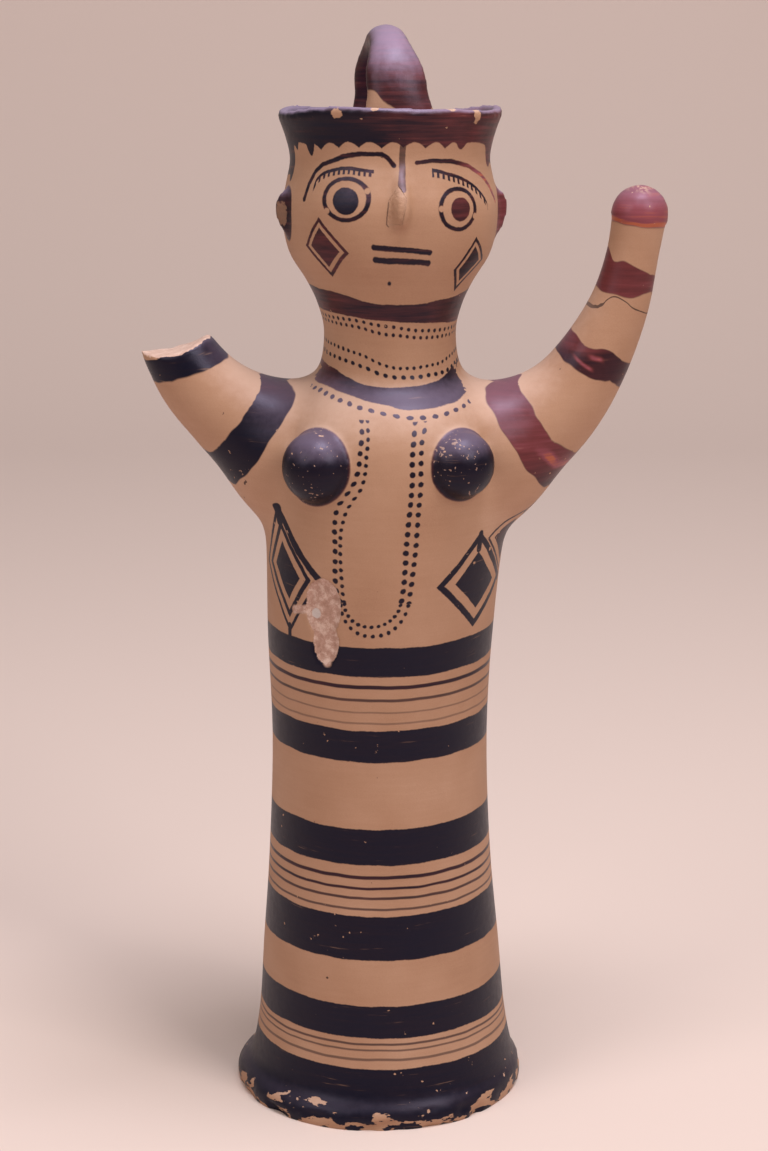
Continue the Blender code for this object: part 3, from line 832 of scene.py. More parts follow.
# The dotted rings of the neck: line, dots all round, dot radius in mm, and the slope's stretch
UPPER_RINGS = (
    (((-180, 275.8), (-57, 275.8), (0, 273.9), (70, 271.8), (180, 275.8)), 57, 0.62, 1.0),
    (((-180, 273.2), (-64, 274.1), (0, 271.4), (72, 269.7), (180, 273.2)), 60, 0.60, 1.0),
)
LOWER_RINGS = (
    (((-180, 266.2), (-69, 266.7), (0, 261.5), (11, 260.9), (73, 263.4), (180, 266.2)), 61, 0.62, 1.1),
    (((-180, 263.3), (-76, 263.5), (0, 258.5), (11, 258.0), (79, 260.2), (180, 263.3)), 49, 0.82, 1.2),
)
COLLAR_TOP = (
    (-180, 260.4), (-83, 260.2), (-36, 257.5), (0, 255.2), (10, 255.2), (36, 255.9), (83, 260), (180, 260.4),
)
COLLAR_FOOT = (
    (-180, 254.8), (-57, 253.7), (-20, 251.8), (0, 250.2), (15, 249.1), (57, 251.0), (100, 254), (180, 254.8),
)
COLLAR_MIDDLE = 10
COLLAR_DOTS = (
    (-180, 254), (-91, 252.4), (-54, 252.0), (-33, 250.7), (-15, 249.3), (3, 247.5), (21, 246.9), (39, 247.6),
    (55, 248.8), (74, 250.6), (91, 251.6), (180, 254),
)
COLLAR_DOT_COUNT = 48
COLLAR_DOT_RADIUS = 1.08
COLLAR_SLOPE = 1.75

# The looped pendant: (height in mm, degrees of turn) down each side, the dots' pitch and radius
PENDANT_SIDES = (
    (
        (
            (186, -20.6), (193, -23.6), (203, -24.1), (214.6, -24.6), (221.7, -20.3), (230.3, -14.9),
            (236.4, -14.0), (247.5, -19.0),
        ), 3.35, 0.92,
    ),
    (((186, 12.6), (198.9, 13.7), (217.6, 14.5), (237.3, 15.2), (243.3, 18.4), (247, 20.4)), 3.40, 0.92),
    (
        (
            (186, -18.8), (194, -20.6), (207, -21.6), (215.6, -19.9), (220.2, -16.8), (227.1, -12.1),
            (234.6, -10.8), (240.6, -11.0), (247.5, -15.6),
        ), 2.75, 0.72,
    ),
    (
        (
            (186, 8.8), (192.4, 9.6), (204.2, 9.5), (224.5, 10.4), (234.3, 10.7), (242, 12.3), (247, 15.2),
        ), 3.30, 0.98,
    ),
)
PENDANT_ENDS = (0.8, 1.2)
# Its round bottom: middle, radii and the dots' radius
PENDANT_BOTTOMS = (((-4.0, 186.0), (11.6, 12.1), 0.74), ((-5.0, 186.0), (9.6, 8.6), 0.70))
PENDANT_BOTTOM_DOTS = 26

# The breasts' paint, in radii: its edge, and the worn specks in it with how pale they are
BREAST_EDGE = (1.10, 1.05)
BREAST_REGION = 1.2
SPECK_MIX = (0.7, 0.3)
SPECK_EDGE = (0.650, 0.68)
SPECK_PALE = 0.6

# The torso's lozenges: corners from the top by her left, the lines inside as (start, end) in mm,
# their red, and the loose strokes as (points, width, red)
LOZENGES = (
    (
        ((-61.0, 214.4), (-31.5, 191.6), (-51.2, 170.9), (-76.5, 192.4)),
        ((0.0, 1.2), (3.1, 4.8), (7.0, 40)),
        BLACK,
        (
            (((-59.6, 211.5), (-46.5, 200.5), (-31.5, 191.6)), 2.5, BLACK),
            (((-61.0, 213.4), (-60.2, 208.5)), 3.4, BLACK),
            (((-51.6, 173.5), (-51.6, 169.2)), 2.0, BLACK),
        ),
    ),
    (
        ((50.8, 206.4), (78.2, 186.8), (52.6, 173.0), (26.2, 189.9)),
        ((-0.2, 2.0), (4.9, 40)),
        BLACK,
        (
            (((51.2, 205.8), (50.6, 200.5)), 2.4, 0.08),
            (((77.0, 187.0), (78.5, 186.0)), 3.0, 0.30),
        ),
    ),
    (
        ((79.5, 210.0), (98, 196.0), (77.3, 188.6), (56.8, 203.0)),
        ((0.0, 0.9), (2.9, 40)),
        0.25,
        ((((79.3, 209.5), (96, 220)), 0.9, 0.25),),
    ),
)
LOZENGE_SOFT = 0.18

# The flaked patch over the waist band: two ovals as (turn, height) and radii in mm, and two spurs
LOST_OVALS = (((-30.3, 182.6), (6.8, 9.9)), ((-28.6, 170.4), (5.0, 7.6)))
LOST_SPURS = ((((-47.5, 179.7), (-36, 181.5)), 3.0), (((-28.2, 168.0), (-27.4, 163.4)), 3.4))
LOST_SOFT = 0.5
LOST_EDGE = (1.04, 0.98)
LOST_RAGGED = (0.22, 0.10)
LOST_DEPTH = 0.0013
# A painted white highlight on the flaked patch's bared core, as (turn, height)
CORE_HIGHLIGHT_SPOT = (-34.9, 179.8)

# The thrown bands, as (foot, top) in mm, and the thin lines, as (height, width, how well it covers)
TORSO_BANDS = ((159.4, 169.9), (129.1, 140.3))
TORSO_LINES = ((155.8, 1.25, 1.0), (151.2, 0.9, 0.85), (146.9, 0.5, 0.45), (143.0, 0.6, 0.45))
SKIRT_BANDS = ((92.6, 105.4), (59.0, 74.6), (31.2, 42.8), (-20.0, 20.4))
SKIRT_LINES = (
    (88.3, 1.15, 1.0), (84.4, 0.85, 1.0), (80.9, 0.85, 0.9), (77.0, 0.7, 0.8),
    (29.0, 0.7, 0.8), (26.9, 0.55, 0.7), (23.6, 0.8, 0.65),
)
LINE_WAVER = 0.8
LINE_EDGE = (0.28, 0.18)

# The arms' bands, as distances along them in mm, where the paint strays more
ARM_WAVER = 4.0
SHOULDER_BANDS = {-1: (30.2, 41.4), 1: (30.6, 42.6)}
BAND_BOW = 5.2
BAND_BOW_REACH = 0.020
END_BAND = (66.0, 90.0)
END_BAND_SLOPE = (0.23, -72.0)
END_BAND_BARE = ((75.2, 75.6), (-77.0, -78.0))
# The edges of her left arm's bands, as (mm to her left, mm along the arm): foot, then top
LEFT_ARM_BANDS = (
    (((53, 65.8), (62, 64.7), (73, 66.6)), ((59, 76.6), (66, 74.0), (72, 75.0), (77, 73.8))),
    (((68, 93.3), (76, 93.8), (84, 95.6)), ((69, 104.4), (71.5, 108.4), (74, 104.0), (78, 104.8), (86, 101.4))),
)
HAND_START = 118.0
HAND_SWELL = 0.0005
HAND_RIM = (117.5, 119.2, 0.5)
# The hand's bald patch: the grain's mix and edge, how far along and aside it lies, and how bare
BALD_MIX = (0.6, 0.4)
BALD_EDGE = (0.50, 0.56)
BALD_ALONG = (127, 130)
BALD_ASIDE = (76, 85, 2.0)
BALD_SHARE = 0.85
# Orange streaks on the front of her left arm's bands
SHOULDER_STREAK = ((37.0, 40.0, 1.0), (212, 232, 3), (0.0, -0.008), 0.9)
ARM_STREAKS = (((66, 71.4), (70.5, 71.0)), ((61, 67.6), (67, 67.9)))
ARM_STREAK = ((0.7, 0.6), 1.2, (0.0, -0.004), 0.85)
ARM_CRACK = ((64, 88.5), (67, 86.5), (70, 88.0), (75.5, 93.0), (82, 90.2), (90, 89.0))
CRACK_EDGE = (0.36, 0.10)
CRACK_CHIP = (71.5, 69.5, 0.40)
BREAK_EDGE = (0.35, 0.6)

# The clay's and the slip's colours, and the grains that mix them as (scale, detail, stretch)
BROAD = (28, 4.0)
STREAKS = (60, 3.0, (1, 1, 14))
FINE = (2600, 3.0)
WEAR = (420, 4.0)
SCUFFS = (130, 6.0, (1, 1, 2.4))
PITS = (260, 2.0)
CLAY_TONES = (
    (0.25, (156, 115, 90)), (0.45, (171, 130, 103)), (0.60, (179, 139, 113)), (0.80, (194, 157, 134)),
)
CLAY_MIX = (0.65, 0.12, 0.23)
CORE_TONES = ((0.30, (160, 122, 104)), (0.48, (184, 146, 130)), (0.62, (214, 184, 170)))
CORE_MIX = (0.7, 0.3)
SLIP_TONES = (
    (0.00, (8, 7, 24)), (0.20, (24, 12, 21)), (0.45, (68, 32, 32)), (0.70, (104, 48, 48)),
    (0.90, (134, 68, 76)), (1.00, (172, 92, 62)),
)
SLIP_UNEVEN = 0.2
# The painted white highlight on the bared core: its colour, edge in mm and share
CORE_HIGHLIGHT_COLOUR = (0.62, 0.56, 0.54, 1)
CORE_HIGHLIGHT_EDGE = (2.1, 1.5)
CORE_HIGHLIGHT_SHARE = 0.8
# The near-black of pits and cracks, also laid as painted shade along the nose's facet
PIT_CRACK_AND_SHADE_COLOUR = (0.06, 0.03, 0.02, 1)
PIT_EDGE = (0.765, 0.79)
PIT_CRACK_AND_SHADE_SHARE = 0.92
# Painted light on the surfaces that face up: a painted lavender sheen on the slip, and the clay painted paler
# as if lit from above
PAINTED_SHEEN_COLOUR = (0.50, 0.37, 0.55, 1)
TOP_LIGHT_EDGE = (0.22, 0.90)
TOP_LIGHT_UNEVEN = (0.25, 0.5)
TOP_LIT_CLAY = (0.70, 0.49, 0.41, 1)
TOP_LIT_SHARE = 0.50
# Where the slip is rubbed off, thin, or scuffed near the foot
WORN_MIX = (0.75, 0.25)
WORN_EDGE = (0.665, 0.69)
THIN_EDGE = (0.66, 0.80)
THIN_SHARE = 0.35
SCUFF_MIX = (0.8, 0.2)
SCUFF_EDGE = (0.585, 0.605)
SCUFF_TOP = (13, 0)
SCUFF_LOW = (0.02, 0.25)
# How rough each is, as the grain's share and the least, and how the light catches it
CLAY_ROUGHNESS = (0.12, 0.56)
SLIP_ROUGHNESS = (0.20, 0.28)
SPECULAR = 0.30
SPECULAR_TINT = (0.78, 0.74, 1.0, 1)
# The fine relief, as distance and strength: the clay's skin, the bared core, the slip's thickness
SKIN_MIX = (0.15, 0.35, 0.25)
PIT_DEPTH = 1.2
SKIN_RELIEF = (0.0006, 0.18)
CORE_ROUGH_MIX = (1.2, 0.4)
CORE_DEPTH = 1.5
CORE_RELIEF = (0.0006, 0.7)
SLIP_RELIEF = (0.00008, 0.6)

# Where one material ends and the next begins, in metres
HEAD_FOOT = 0.2688
CHEST_FOOT = 0.2168
TORSO_FOOT = 0.1200
ARM_START = 0.0265
HEAD, CHEST, BELLY, SKIRT, ARM, INSIDE = range(6)


class Value:
    """A number that the nodes of one material work out at each point of the surface."""

    def __init__(self, tree, socket):
        self.tree = tree
        self.socket = socket

    def done(self, operation, *others):
        node = self.tree.nodes.new("ShaderNodeMath")
        node.operation = operation
        for socket, value in zip(node.inputs, (self, *others)):
            plug(value, socket)
        return Value(self.tree, node.outputs[0])

    def __add__(self, other):
        return self.done("ADD", other)

    def __sub__(self, other):
        return self.done("SUBTRACT", other)

    def __mul__(self, other):
        return self.done("MULTIPLY", other)

    def __truediv__(self, other):
        return self.done("DIVIDE", other)

    def __abs__(self):
        return self.done("ABSOLUTE")

    def low(self, other):
        return self.done("MINIMUM", other)

    def high(self, other):
        return self.done("MAXIMUM", other)

    def rest(self):
        return (self * -1) + 1


def plug(value, socket):
    if isinstance(value, Value):
        value.tree.links.new(value.socket, socket)
    else:
        socket.default_value = value


def vector_done(operation, first, *others):
    node = first.tree.nodes.new("ShaderNodeVectorMath")
    node.operation = operation
    for socket, value in zip(node.inputs, (first, *others)):
        plug(value, socket)
    out = "Value" if operation in ("DOT_PRODUCT", "DISTANCE", "LENGTH") else "Vector"
    return Value(first.tree, node.outputs[out])


def scaled(vector, share):
    node = share.tree.nodes.new("ShaderNodeVectorMath")
    node.operation = "SCALE"
    node.inputs[0].default_value = vector
    plug(share, node.inputs["Scale"])
    return Value(share.tree, node.outputs["Vector"])


def step(value, low, high):
    """0 at low, 1 at high, and a soft step between them. It falls where high is the smaller."""
    node = value.tree.nodes.new("ShaderNodeMapRange")
    node.interpolation_type = "SMOOTHSTEP"
    plug(value, node.inputs["Value"])
    node.inputs["From Min"].default_value = low
    node.inputs["From Max"].default_value = high
    return Value(value.tree, node.outputs["Result"])


def mixed(first, second, share):
    return share.done("MULTIPLY_ADD", (first * -1) + second, first)


def swing(value, reach):
    """A grain's value, taken as far to one side of nothing as to the other."""
    return (value - 0.5) * reach


def weighed(values, shares):
    """The sum of the values, each with its share."""
    total = values[0] * shares[0]
    for value, share in zip(values[1:], shares[1:]):
        total = total + value * share
    return total


def highest(first, second):
    return second if first is None else first.high(second)


def length(across, up):
    return (across * across + up * up).done("SQRT")


def curve(value, points):
    """A smooth line through points given as (value, result), level beyond its ends."""
    left, right = points[0][0], points[-1][0]
    low, high = min(y for _, y in points), max(y for _, y in points)
    node = value.tree.nodes.new("ShaderNodeFloatCurve")
    node.mapping.extend = "HORIZONTAL"
    line = node.mapping.curves[0]
    placed = [((x - left) / (right - left), (y - low) / (high - low)) for x, y in points]
    line.points[0].location = placed[0]
    line.points[1].location = placed[-1]
    for place in placed[1:-1]:
        line.points.new(*place)
    node.mapping.update()
    plug((value - left) / (right - left), node.inputs["Value"])
    return Value(value.tree, node.outputs[0]) * (high - low) + low


def grain(place, scale, detail, stretch=None):
    """Fine uneven noise from 0 to 1, as its value and as three separate channels."""
    if stretch:
        place = vector_done("MULTIPLY", place, stretch)
    node = place.tree.nodes.new("ShaderNodeTexNoise")
    node.inputs["Scale"].default_value = scale
    node.inputs["Detail"].default_value = detail
    plug(place, node.inputs["Vector"])
    return Value(place.tree, node.outputs["Fac"]), Value(place.tree, node.outputs["Color"])


def parts_of(vector):
    node = vector.tree.nodes.new("ShaderNodeSeparateXYZ")
    plug(vector, node.inputs[0])
    return [Value(vector.tree, out) for out in node.outputs]


def attribute(tree, name, out="Fac"):
    node = tree.nodes.new("ShaderNodeAttribute")
    node.attribute_name = name
    return Value(tree, node.outputs[out])


class Place:
    """Where a point lies: its turn and height on the straight figure, shaken as by a hand."""

    def __init__(self, tree, arc):
        self.tree = tree
        self.arc = arc
        self.straight = attribute(tree, "straight", "Vector")
        _, shake = grain(self.straight, *SHAKE_GRAIN)
        _, quiver = grain(self.straight, *QUIVER_GRAIN)
        shake_x, shake_y, self.patchy = parts_of(shake)
        quiver_x, quiver_y, self.speck = parts_of(quiver)
        x, y, z = parts_of(self.straight)
        self.true_turn = x.done("ARCTAN2", y * -1) * math.degrees(1)
        self.turn = self.true_turn + (swing(shake_x, SHAKE) + swing(quiver_x, QUIVER)) * (1 / arc)
        self.height = z * MM + (swing(shake_y, SHAKE) + swing(quiver_y, QUIVER))
        self.true_height = z * MM
        node = tree.nodes.new("ShaderNodeCombineXYZ")
        plug(self.turn * arc, node.inputs["X"])
        plug(self.height, node.inputs["Y"])
        self.flat = Value(tree, node.outputs[0])

    def spot(self, point):
        return Vector((point[0] * self.arc, point[1], 0))

    def distance(self, point):
        return vector_done("DISTANCE", self.flat, self.spot(point))


def stroke(place, points, width, soft=STROKE_SOFT):
    """A brushed line through the points."""
    nearest = None
    for start, end in zip(points, points[1:]):
        start, end = place.spot(start), place.spot(end)
        whole = end - start
        offset = vector_done("SUBTRACT", place.flat, tuple(start))
        share = vector_done("DOT_PRODUCT", offset, tuple(whole / whole.length_squared))
        share = share.low(1).high(0)
        away = vector_done("DISTANCE", offset, scaled(whole, share))
        nearest = away if nearest is None else nearest.low(away)
    return step(nearest, width / 2 + soft, width / 2 - soft)


def inside(place, corners):
    """How far inside a four-cornered shape a point is, in mm. The corners run clockwise."""
    least = None
    spots = [place.spot(corner) for corner in corners]
    for start, end in zip(spots, spots[1:] + spots[:1]):
        along = (end - start).normalized()
        inward = Vector((along.y, -along.x, 0))
        depth = vector_done("DOT_PRODUCT", place.flat, tuple(inward)) - start.dot(inward)
        least = depth if least is None else least.low(depth)
    return least


def between_lines(value, low, high, soft=STROKE_SOFT):
    return step(value, low - soft, low + soft) * step(value, high + soft, high - soft)


def between_curves(up, along, foot, top, soft=BAND_SOFT):
    """Between two lines that are given as (place along the band, how far up)."""
    above = step(up - curve(along, foot), -soft, soft)
    return above * step(up - curve(along, top), soft, -soft)


def reddened(value, start, end, gain, red, share=None):
    """How red the slip is where it fired redder from start to end."""
    fired = step(value, start, end)
    if share:
        fired = fired * share
    return fired * gain + red


def oval(place, centre, radii):
    """How far out a point is, 1 on the oval's edge."""
    away = vector_done("SUBTRACT", place.flat, place.spot(centre))
    return vector_done("LENGTH", vector_done("DIVIDE", away, (*radii, 1)))


def dot(away, radius):
    return step(away, radius + BAND_SOFT, radius - BAND_SOFT)


def ringed_dots(place, line, count, radius, slope, arc=NECK_ARC):
    """A row of dots right round, on a line given as height over turn."""
    turns = place.turn * (count / 360)
    across = swing(turns.done("FRACT"), 360 / count * arc)
    up = (place.height - curve(place.true_turn, line)) * slope
    return dot(length(across, up), radius)


def hanging_dots(place, line, pitch, radius):
    """A column of dots down a line given as turn over height."""
    up = swing((place.height * (1 / pitch)).done("FRACT"), pitch)
    across = (place.turn - curve(place.true_height, line)) * place.arc
    dots = dot(length(across, up), radius)
    below, above = PENDANT_ENDS
    return dots * between_lines(place.true_height, line[0][0] - below, line[-1][0] - above)


def rounded_dots(place, centre, radii, radius):
    """Dots round the lower half of an oval."""
    away = vector_done("SUBTRACT", place.flat, place.spot(centre))
    x, y, _ = parts_of(vector_done("DIVIDE", away, (*radii, 1)))
    reach = length(x, y)
    angle = y.done("ARCTAN2", x) * (PENDANT_BOTTOM_DOTS / math.tau)
    mean = (radii[0] + radii[1]) / 2
    across = swing(angle.done("FRACT"), math.tau * mean / PENDANT_BOTTOM_DOTS)
    out = (reach - 1) * mean
    return dot(length(across, out), radius) * dot(place.true_height, centre[1])


class Slip:
    """What has been brushed on so far: how far it covers, and how red it fired."""

    def __init__(self):
        self.cover = None
        self.red = None
        self.pale = None
        self.dark = None
        self.hollow = None

    def brush(self, cover, red, thickness=1.0):
        cover = cover * thickness if thickness != 1.0 else cover
        if self.cover is None:
            self.cover, self.red = cover, cover * 0 + red
        else:
            self.cover = self.cover.high(cover)
            self.red = cover.done("MULTIPLY_ADD", (self.red * -1) + red, self.red)

    def scrape(self, mask):
        self.cover = self.cover * mask.rest()


def crown(slip, place):
    """The painted crown with its scalloped hair, the strap over it and the chips of its lip."""
    turns = (place.turn - SCALLOP_START) * (math.pi / SCALLOP_TURN)
    scallops = abs(turns.done("SINE")).rest() * between_lines(place.turn, *SCALLOP_ENDS) * SCALLOP_DEPTH
    edge = curve(place.turn, HAIR_EDGE) - scallops
    hair = step(place.height - edge, -HAIR_SOFT, HAIR_SOFT)
    front = step(abs(place.turn), *HAIR_FRONT)
    slip.brush(hair, reddened(place.turn, *HAIR_RED, front) + swing(place.patchy, HAIR_UNEVEN))
    x, y, _ = parts_of(place.straight)
    middle = length(x, y)
    strap = step(middle, *STRAP_EDGE) * step(place.true_height, *STRAP_FOOT)
    slip.brush(strap, reddened(place.turn, *STRAP_RED, front))
    root = step(place.height - curve(x * MM, LOOP_ROOT_PATCH), *ROOT_EDGE)
    slip.scrape(root * strap * step(y, *ROOT_FRONT))
    for centre, radii in LIP_CHIPS:
        slip.scrape(step(oval(place, centre, radii) + swing(place.speck, CHIP_RAGGED), *CHIP_EDGE))


def eye(slip, place, centre, radii, gaps, pupil, red):
    across = radii[1]
    ring = between_lines(oval(place, centre, radii) * across, across - EYE_RING, across + EYE_RING)
    for gap in gaps:
        ring = ring * step(place.distance(gap), *EYE_GAP)
    slip.brush(ring, FACE_RED)
    slip.brush(step(oval(place, *pupil), *OVAL_EDGE), red)


def lash(slip, place, line, depth):
    up = place.height - curve(place.turn, line)
    along = between_lines(place.turn, line[0][0], line[-1][0], ARM_SOFT)
    slip.brush(step(abs(up), *LASH_LINE) * along, LASH_RED)
    pitch = (line[-1][0] - line[0][0]) / LASH_TEETH
    teeth = abs((place.turn * (1 / pitch)).done("FRACT") - 0.5)
    hanging = between_lines(up, -depth, 0.0, BAND_SOFT)
    slip.brush(step(teeth, *TOOTH_EDGE) * hanging * along, LASH_RED)


def face(slip, place):
    for looks in EYES:
        eye(slip, place, *looks)
    for line, depth in LASHES:
        lash(slip, place, line, depth)
    right, left = BROW_WIDTHS
    slip.brush(stroke(place, RIGHT_BROW, right), FACE_RED)
    slip.brush(stroke(place, LEFT_BROW, left), reddened(place.turn, *LEFT_BROW_RED))
    slip.brush(stroke(place, NOSE_LINE, NOSE_LINE_WIDTH), NOSE_LINE_RED, NOSE_LINE_COVER)
    for line in MOUTH:
        slip.brush(stroke(place, line, MOUTH_WIDTH), LASH_RED)
    slip.brush(step(place.distance(CHIN_DOT), *CHIN_DOT_EDGE), DOT_RED)
    for corners, red in CHEEKS:
        depth = inside(place, corners)
        slip.brush(between_lines(depth, *CHEEK_LINE), red)
        slip.brush(step(depth, *CHEEK_CORE), red)


def head_paint(place):
    """The crown, hair, face, chin band and ears, and the dotted rings under the chin."""
    slip = Slip()
    crown(slip, place)
    face(slip, place)
    band = between_curves(place.height, place.true_turn, CHIN_BAND_FOOT, CHIN_BAND_TOP)
    uneven, red = CHIN_BAND_RED
    slip.brush(band, place.patchy * uneven + red)
    for ring in UPPER_RINGS:
        slip.brush(ringed_dots(place, *ring), DOT_RED)
    for side, red, bare in EARS:
        lug = on_head(side * EAR_PLACES[side], EAR_HEIGHT, EAR_PAINT_OUT)
        away = vector_done("SUBTRACT", place.straight, tuple(lug))
        reach = vector_done("LENGTH", vector_done("DIVIDE", away, EAR_PAINT_SIZE))
        slip.brush(step(reach, *EAR_PAINT_EDGE), red)
        slip.scrape(step(reach + swing(place.speck, EAR_HOLLOW_RAGGED), *EAR_HOLLOW_EDGE) * bare)
    slip.hollow = step(inside(place, NOSE_SCAR), *SCAR_EDGE)
    slip.scrape(slip.hollow)
    # A dark crack line, and a painted shade line along the facet's right edge
    for points, width, soft, dark in NOSE_MARKS:
        slip.dark = highest(slip.dark, stroke(place, points, width, soft) * dark)
    return slip


def pendant_sides(slip, place):
    for column in PENDANT_SIDES:
        slip.brush(hanging_dots(place, *column), PENDANT_RED)


def chest_paint(place):
    """The lower dotted rings, the collar with its dots, the pendant and the breasts."""
    slip = Slip()
    for ring in LOWER_RINGS:
        slip.brush(ringed_dots(place, *ring), LOWER_RING_RED)
    collar = between_curves(place.height, place.true_turn, COLLAR_FOOT, COLLAR_TOP)
    slip.brush(collar, reddened(abs(place.turn - COLLAR_MIDDLE), *COLLAR_RED))
    dots = (COLLAR_DOTS, COLLAR_DOT_COUNT, COLLAR_DOT_RADIUS, COLLAR_SLOPE, COLLAR_ARC)
    slip.brush(ringed_dots(place, *dots), reddened(place.turn, *COLLAR_DOT_RED))
    pendant_sides(slip, place)
    for side in (-1, 1):
        away = vector_done("DISTANCE", place.straight, tuple(breast_centre(side)))
        reach = away / BREAST_RADIUS[side]
        knob = step(reach, *BREAST_EDGE)
        slip.brush(knob, reddened(reach, *BREAST_RED))
        specks = step(weighed((place.speck, place.patchy), SPECK_MIX), *SPECK_EDGE) * knob * SPECK_PALE
        slip.scrape(specks)
        slip.pale = highest(slip.pale, specks)
    return slip


def belly_paint(place):
    """The pendant's round bottom, the lozenges, the waist's bands and the flaked patch."""
    slip = Slip()
    pendant_sides(slip, place)
    for bottom in PENDANT_BOTTOMS:
        slip.brush(rounded_dots(place, *bottom), PENDANT_RED)
    for corners, lines, red, strokes in LOZENGES:
        depth = inside(place, corners)
        for start, end in lines:
            slip.brush(between_lines(depth, start, end, LOZENGE_SOFT), red)
        for points, width, stroke_red in strokes:
            slip.brush(stroke(place, points, width), stroke_red)
    thrown_lines(slip, place, TORSO_BANDS, TORSO_LINES)
    lost_clay(slip, place)
    return slip


def lost_clay(slip, place):
    """The flaked patch, which lays the pale core of the clay bare."""
    away = None
    for points, width in LOST_SPURS:
        away = highest(away, stroke(place, points, width, LOST_SOFT))
    patchy, speck = LOST_RAGGED
    for centre, radii in LOST_OVALS:
        ragged = oval(place, centre, radii) + swing(place.patchy, patchy) + swing(place.speck, speck)
        away = away.high(step(ragged, *LOST_EDGE))
    slip.scrape(away)
    slip.pale = away
    slip.hollow = away


def thrown_lines(slip, place, bands, lines):
    """Bands and lines brushed on as the pot turned on the wheel."""
    for foot, top in bands:
        slip.brush(between_lines(place.height, foot, top), BAND_RED)
    level = place.true_height + swing(place.patchy, LINE_WAVER)
    out, back = LINE_EDGE
    for height, width, cover in lines:
        slip.brush(step(abs(level - height), width / 2 + out, width / 2 - back), LINE_RED, cover)


def skirt_paint(place):
    slip = Slip()
    thrown_lines(slip, place, SKIRT_BANDS, SKIRT_LINES)
    return slip


def arm_paint(place):
    """The bands round the arms, which tell her left from her right by where they are."""
    slip = Slip()
    x, y, z = parts_of(place.straight)
    walked = attribute(place.tree, "along_arm") * MM + swing(place.patchy, ARM_WAVER)
    edgeward = (abs(y) * (-1 / BAND_BOW_REACH) + 1).high(0)
    bow = edgeward * edgeward * BAND_BOW
    left = step(place.turn, -1, 1)
    aside = x * MM
    shoulder = between_lines(walked - bow, *SHOULDER_BANDS[-1], ARM_SOFT) * left.rest()
    slip.brush(shoulder, reddened(z, *SHOULDER_RED[-1]))
    slope, middle = END_BAND_SLOPE
    tilted = walked + (aside - middle) * slope
    bare_along, bare_aside = END_BAND_BARE
    bare = step(walked, *bare_along)
    bare = bare * step(aside, *bare_aside)
    slip.brush(between_lines(tilted, *END_BAND, ARM_SOFT) * left.rest() * bare.rest(), BLACK)
    shoulder = between_lines(walked - bow, *SHOULDER_BANDS[1], ARM_SOFT) * left
    slip.brush(shoulder, reddened(z, *SHOULDER_RED[1]))
    for foot, top in LEFT_ARM_BANDS:
        band = between_curves(walked, aside, foot, top, ARM_SOFT)
        slip.brush(band * left, reddened(walked - aside * 0.5, *LEFT_BAND_RED))
    slip.brush(step(walked, HAND_START - ARM_SOFT, HAND_START + ARM_SOFT) * left, HAND_RED)
    slip.brush(between_lines(walked, *HAND_RIM) * left, ORANGE)
    along, heights, front, share = SHOULDER_STREAK
    streak = between_lines(walked - bow, *along) * between_lines(z * MM, *heights) * left
    slip.brush(streak * step(y, *front) * share, ORANGE)
    (half, soft), end_soft, front, share = ARM_STREAK
    for (first, low), (last, high) in ARM_STREAKS:
        streak = between_lines(walked, (low + high) / 2 - half, (low + high) / 2 + half, soft)
        slip.brush(streak * between_lines(aside, first, last, end_soft) * step(y, *front) * share, ORANGE)
    bald = step(weighed((place.patchy, place.speck), BALD_MIX), *BALD_EDGE)
    bald = bald * between_lines(aside, *BALD_ASIDE)
    slip.scrape(bald * step(walked, *BALD_ALONG) * left * BALD_SHARE)
    start, end, deeper = CRACK_CHIP
    crack = abs(walked - curve(aside, ARM_CRACK)) - step(aside, start, end) * deeper
    slip.dark = step(crack, *CRACK_EDGE) * left
    broken = attribute(place.tree, "broken")
    slip.scrape(step(broken, *BREAK_EDGE))
    slip.pale = step(broken, *BREAK_EDGE)
    return slip


def no_paint(place):
    """The inside of the wall, where the clay was left bare."""
    slip = Slip()
    slip.brush(place.speck * 0, 0.0)
    return slip


def ramp(value, stops):
    """A colour for a value, through stops given as (place, sRGB colour)."""
    node = value.tree.nodes.new("ShaderNodeValToRGB")
    colours = node.color_ramp.elements
    while len(colours) < len(stops):
        colours.new(0.5)
    for made, (place, colour) in zip(colours, stops):
        made.position = place
        made.color = (*(linear(share / 255) for share in colour), 1)
    plug(value, node.inputs[0])
    return Value(value.tree, node.outputs["Color"])


def linear(share):
    return share / 12.92 if share <= 0.04045 else ((share + 0.055) / 1.055) ** 2.4


def blended(first, second, share):
    node = share.tree.nodes.new("ShaderNodeMix")
    node.data_type = "RGBA"
    plug(share, node.inputs[0])
    plug(first, node.inputs[6])
    plug(second, node.inputs[7])
    return Value(share.tree, node.outputs[2])


def bumped(height, distance, strength, normal=None):
    node = height.tree.nodes.new("ShaderNodeBump")
    node.inputs["Strength"].default_value = strength
    node.inputs["Distance"].default_value = distance
    plug(height, node.inputs["Height"])
    if normal:
        plug(normal, node.inputs["Normal"])
    return Value(height.tree, node.outputs[0])


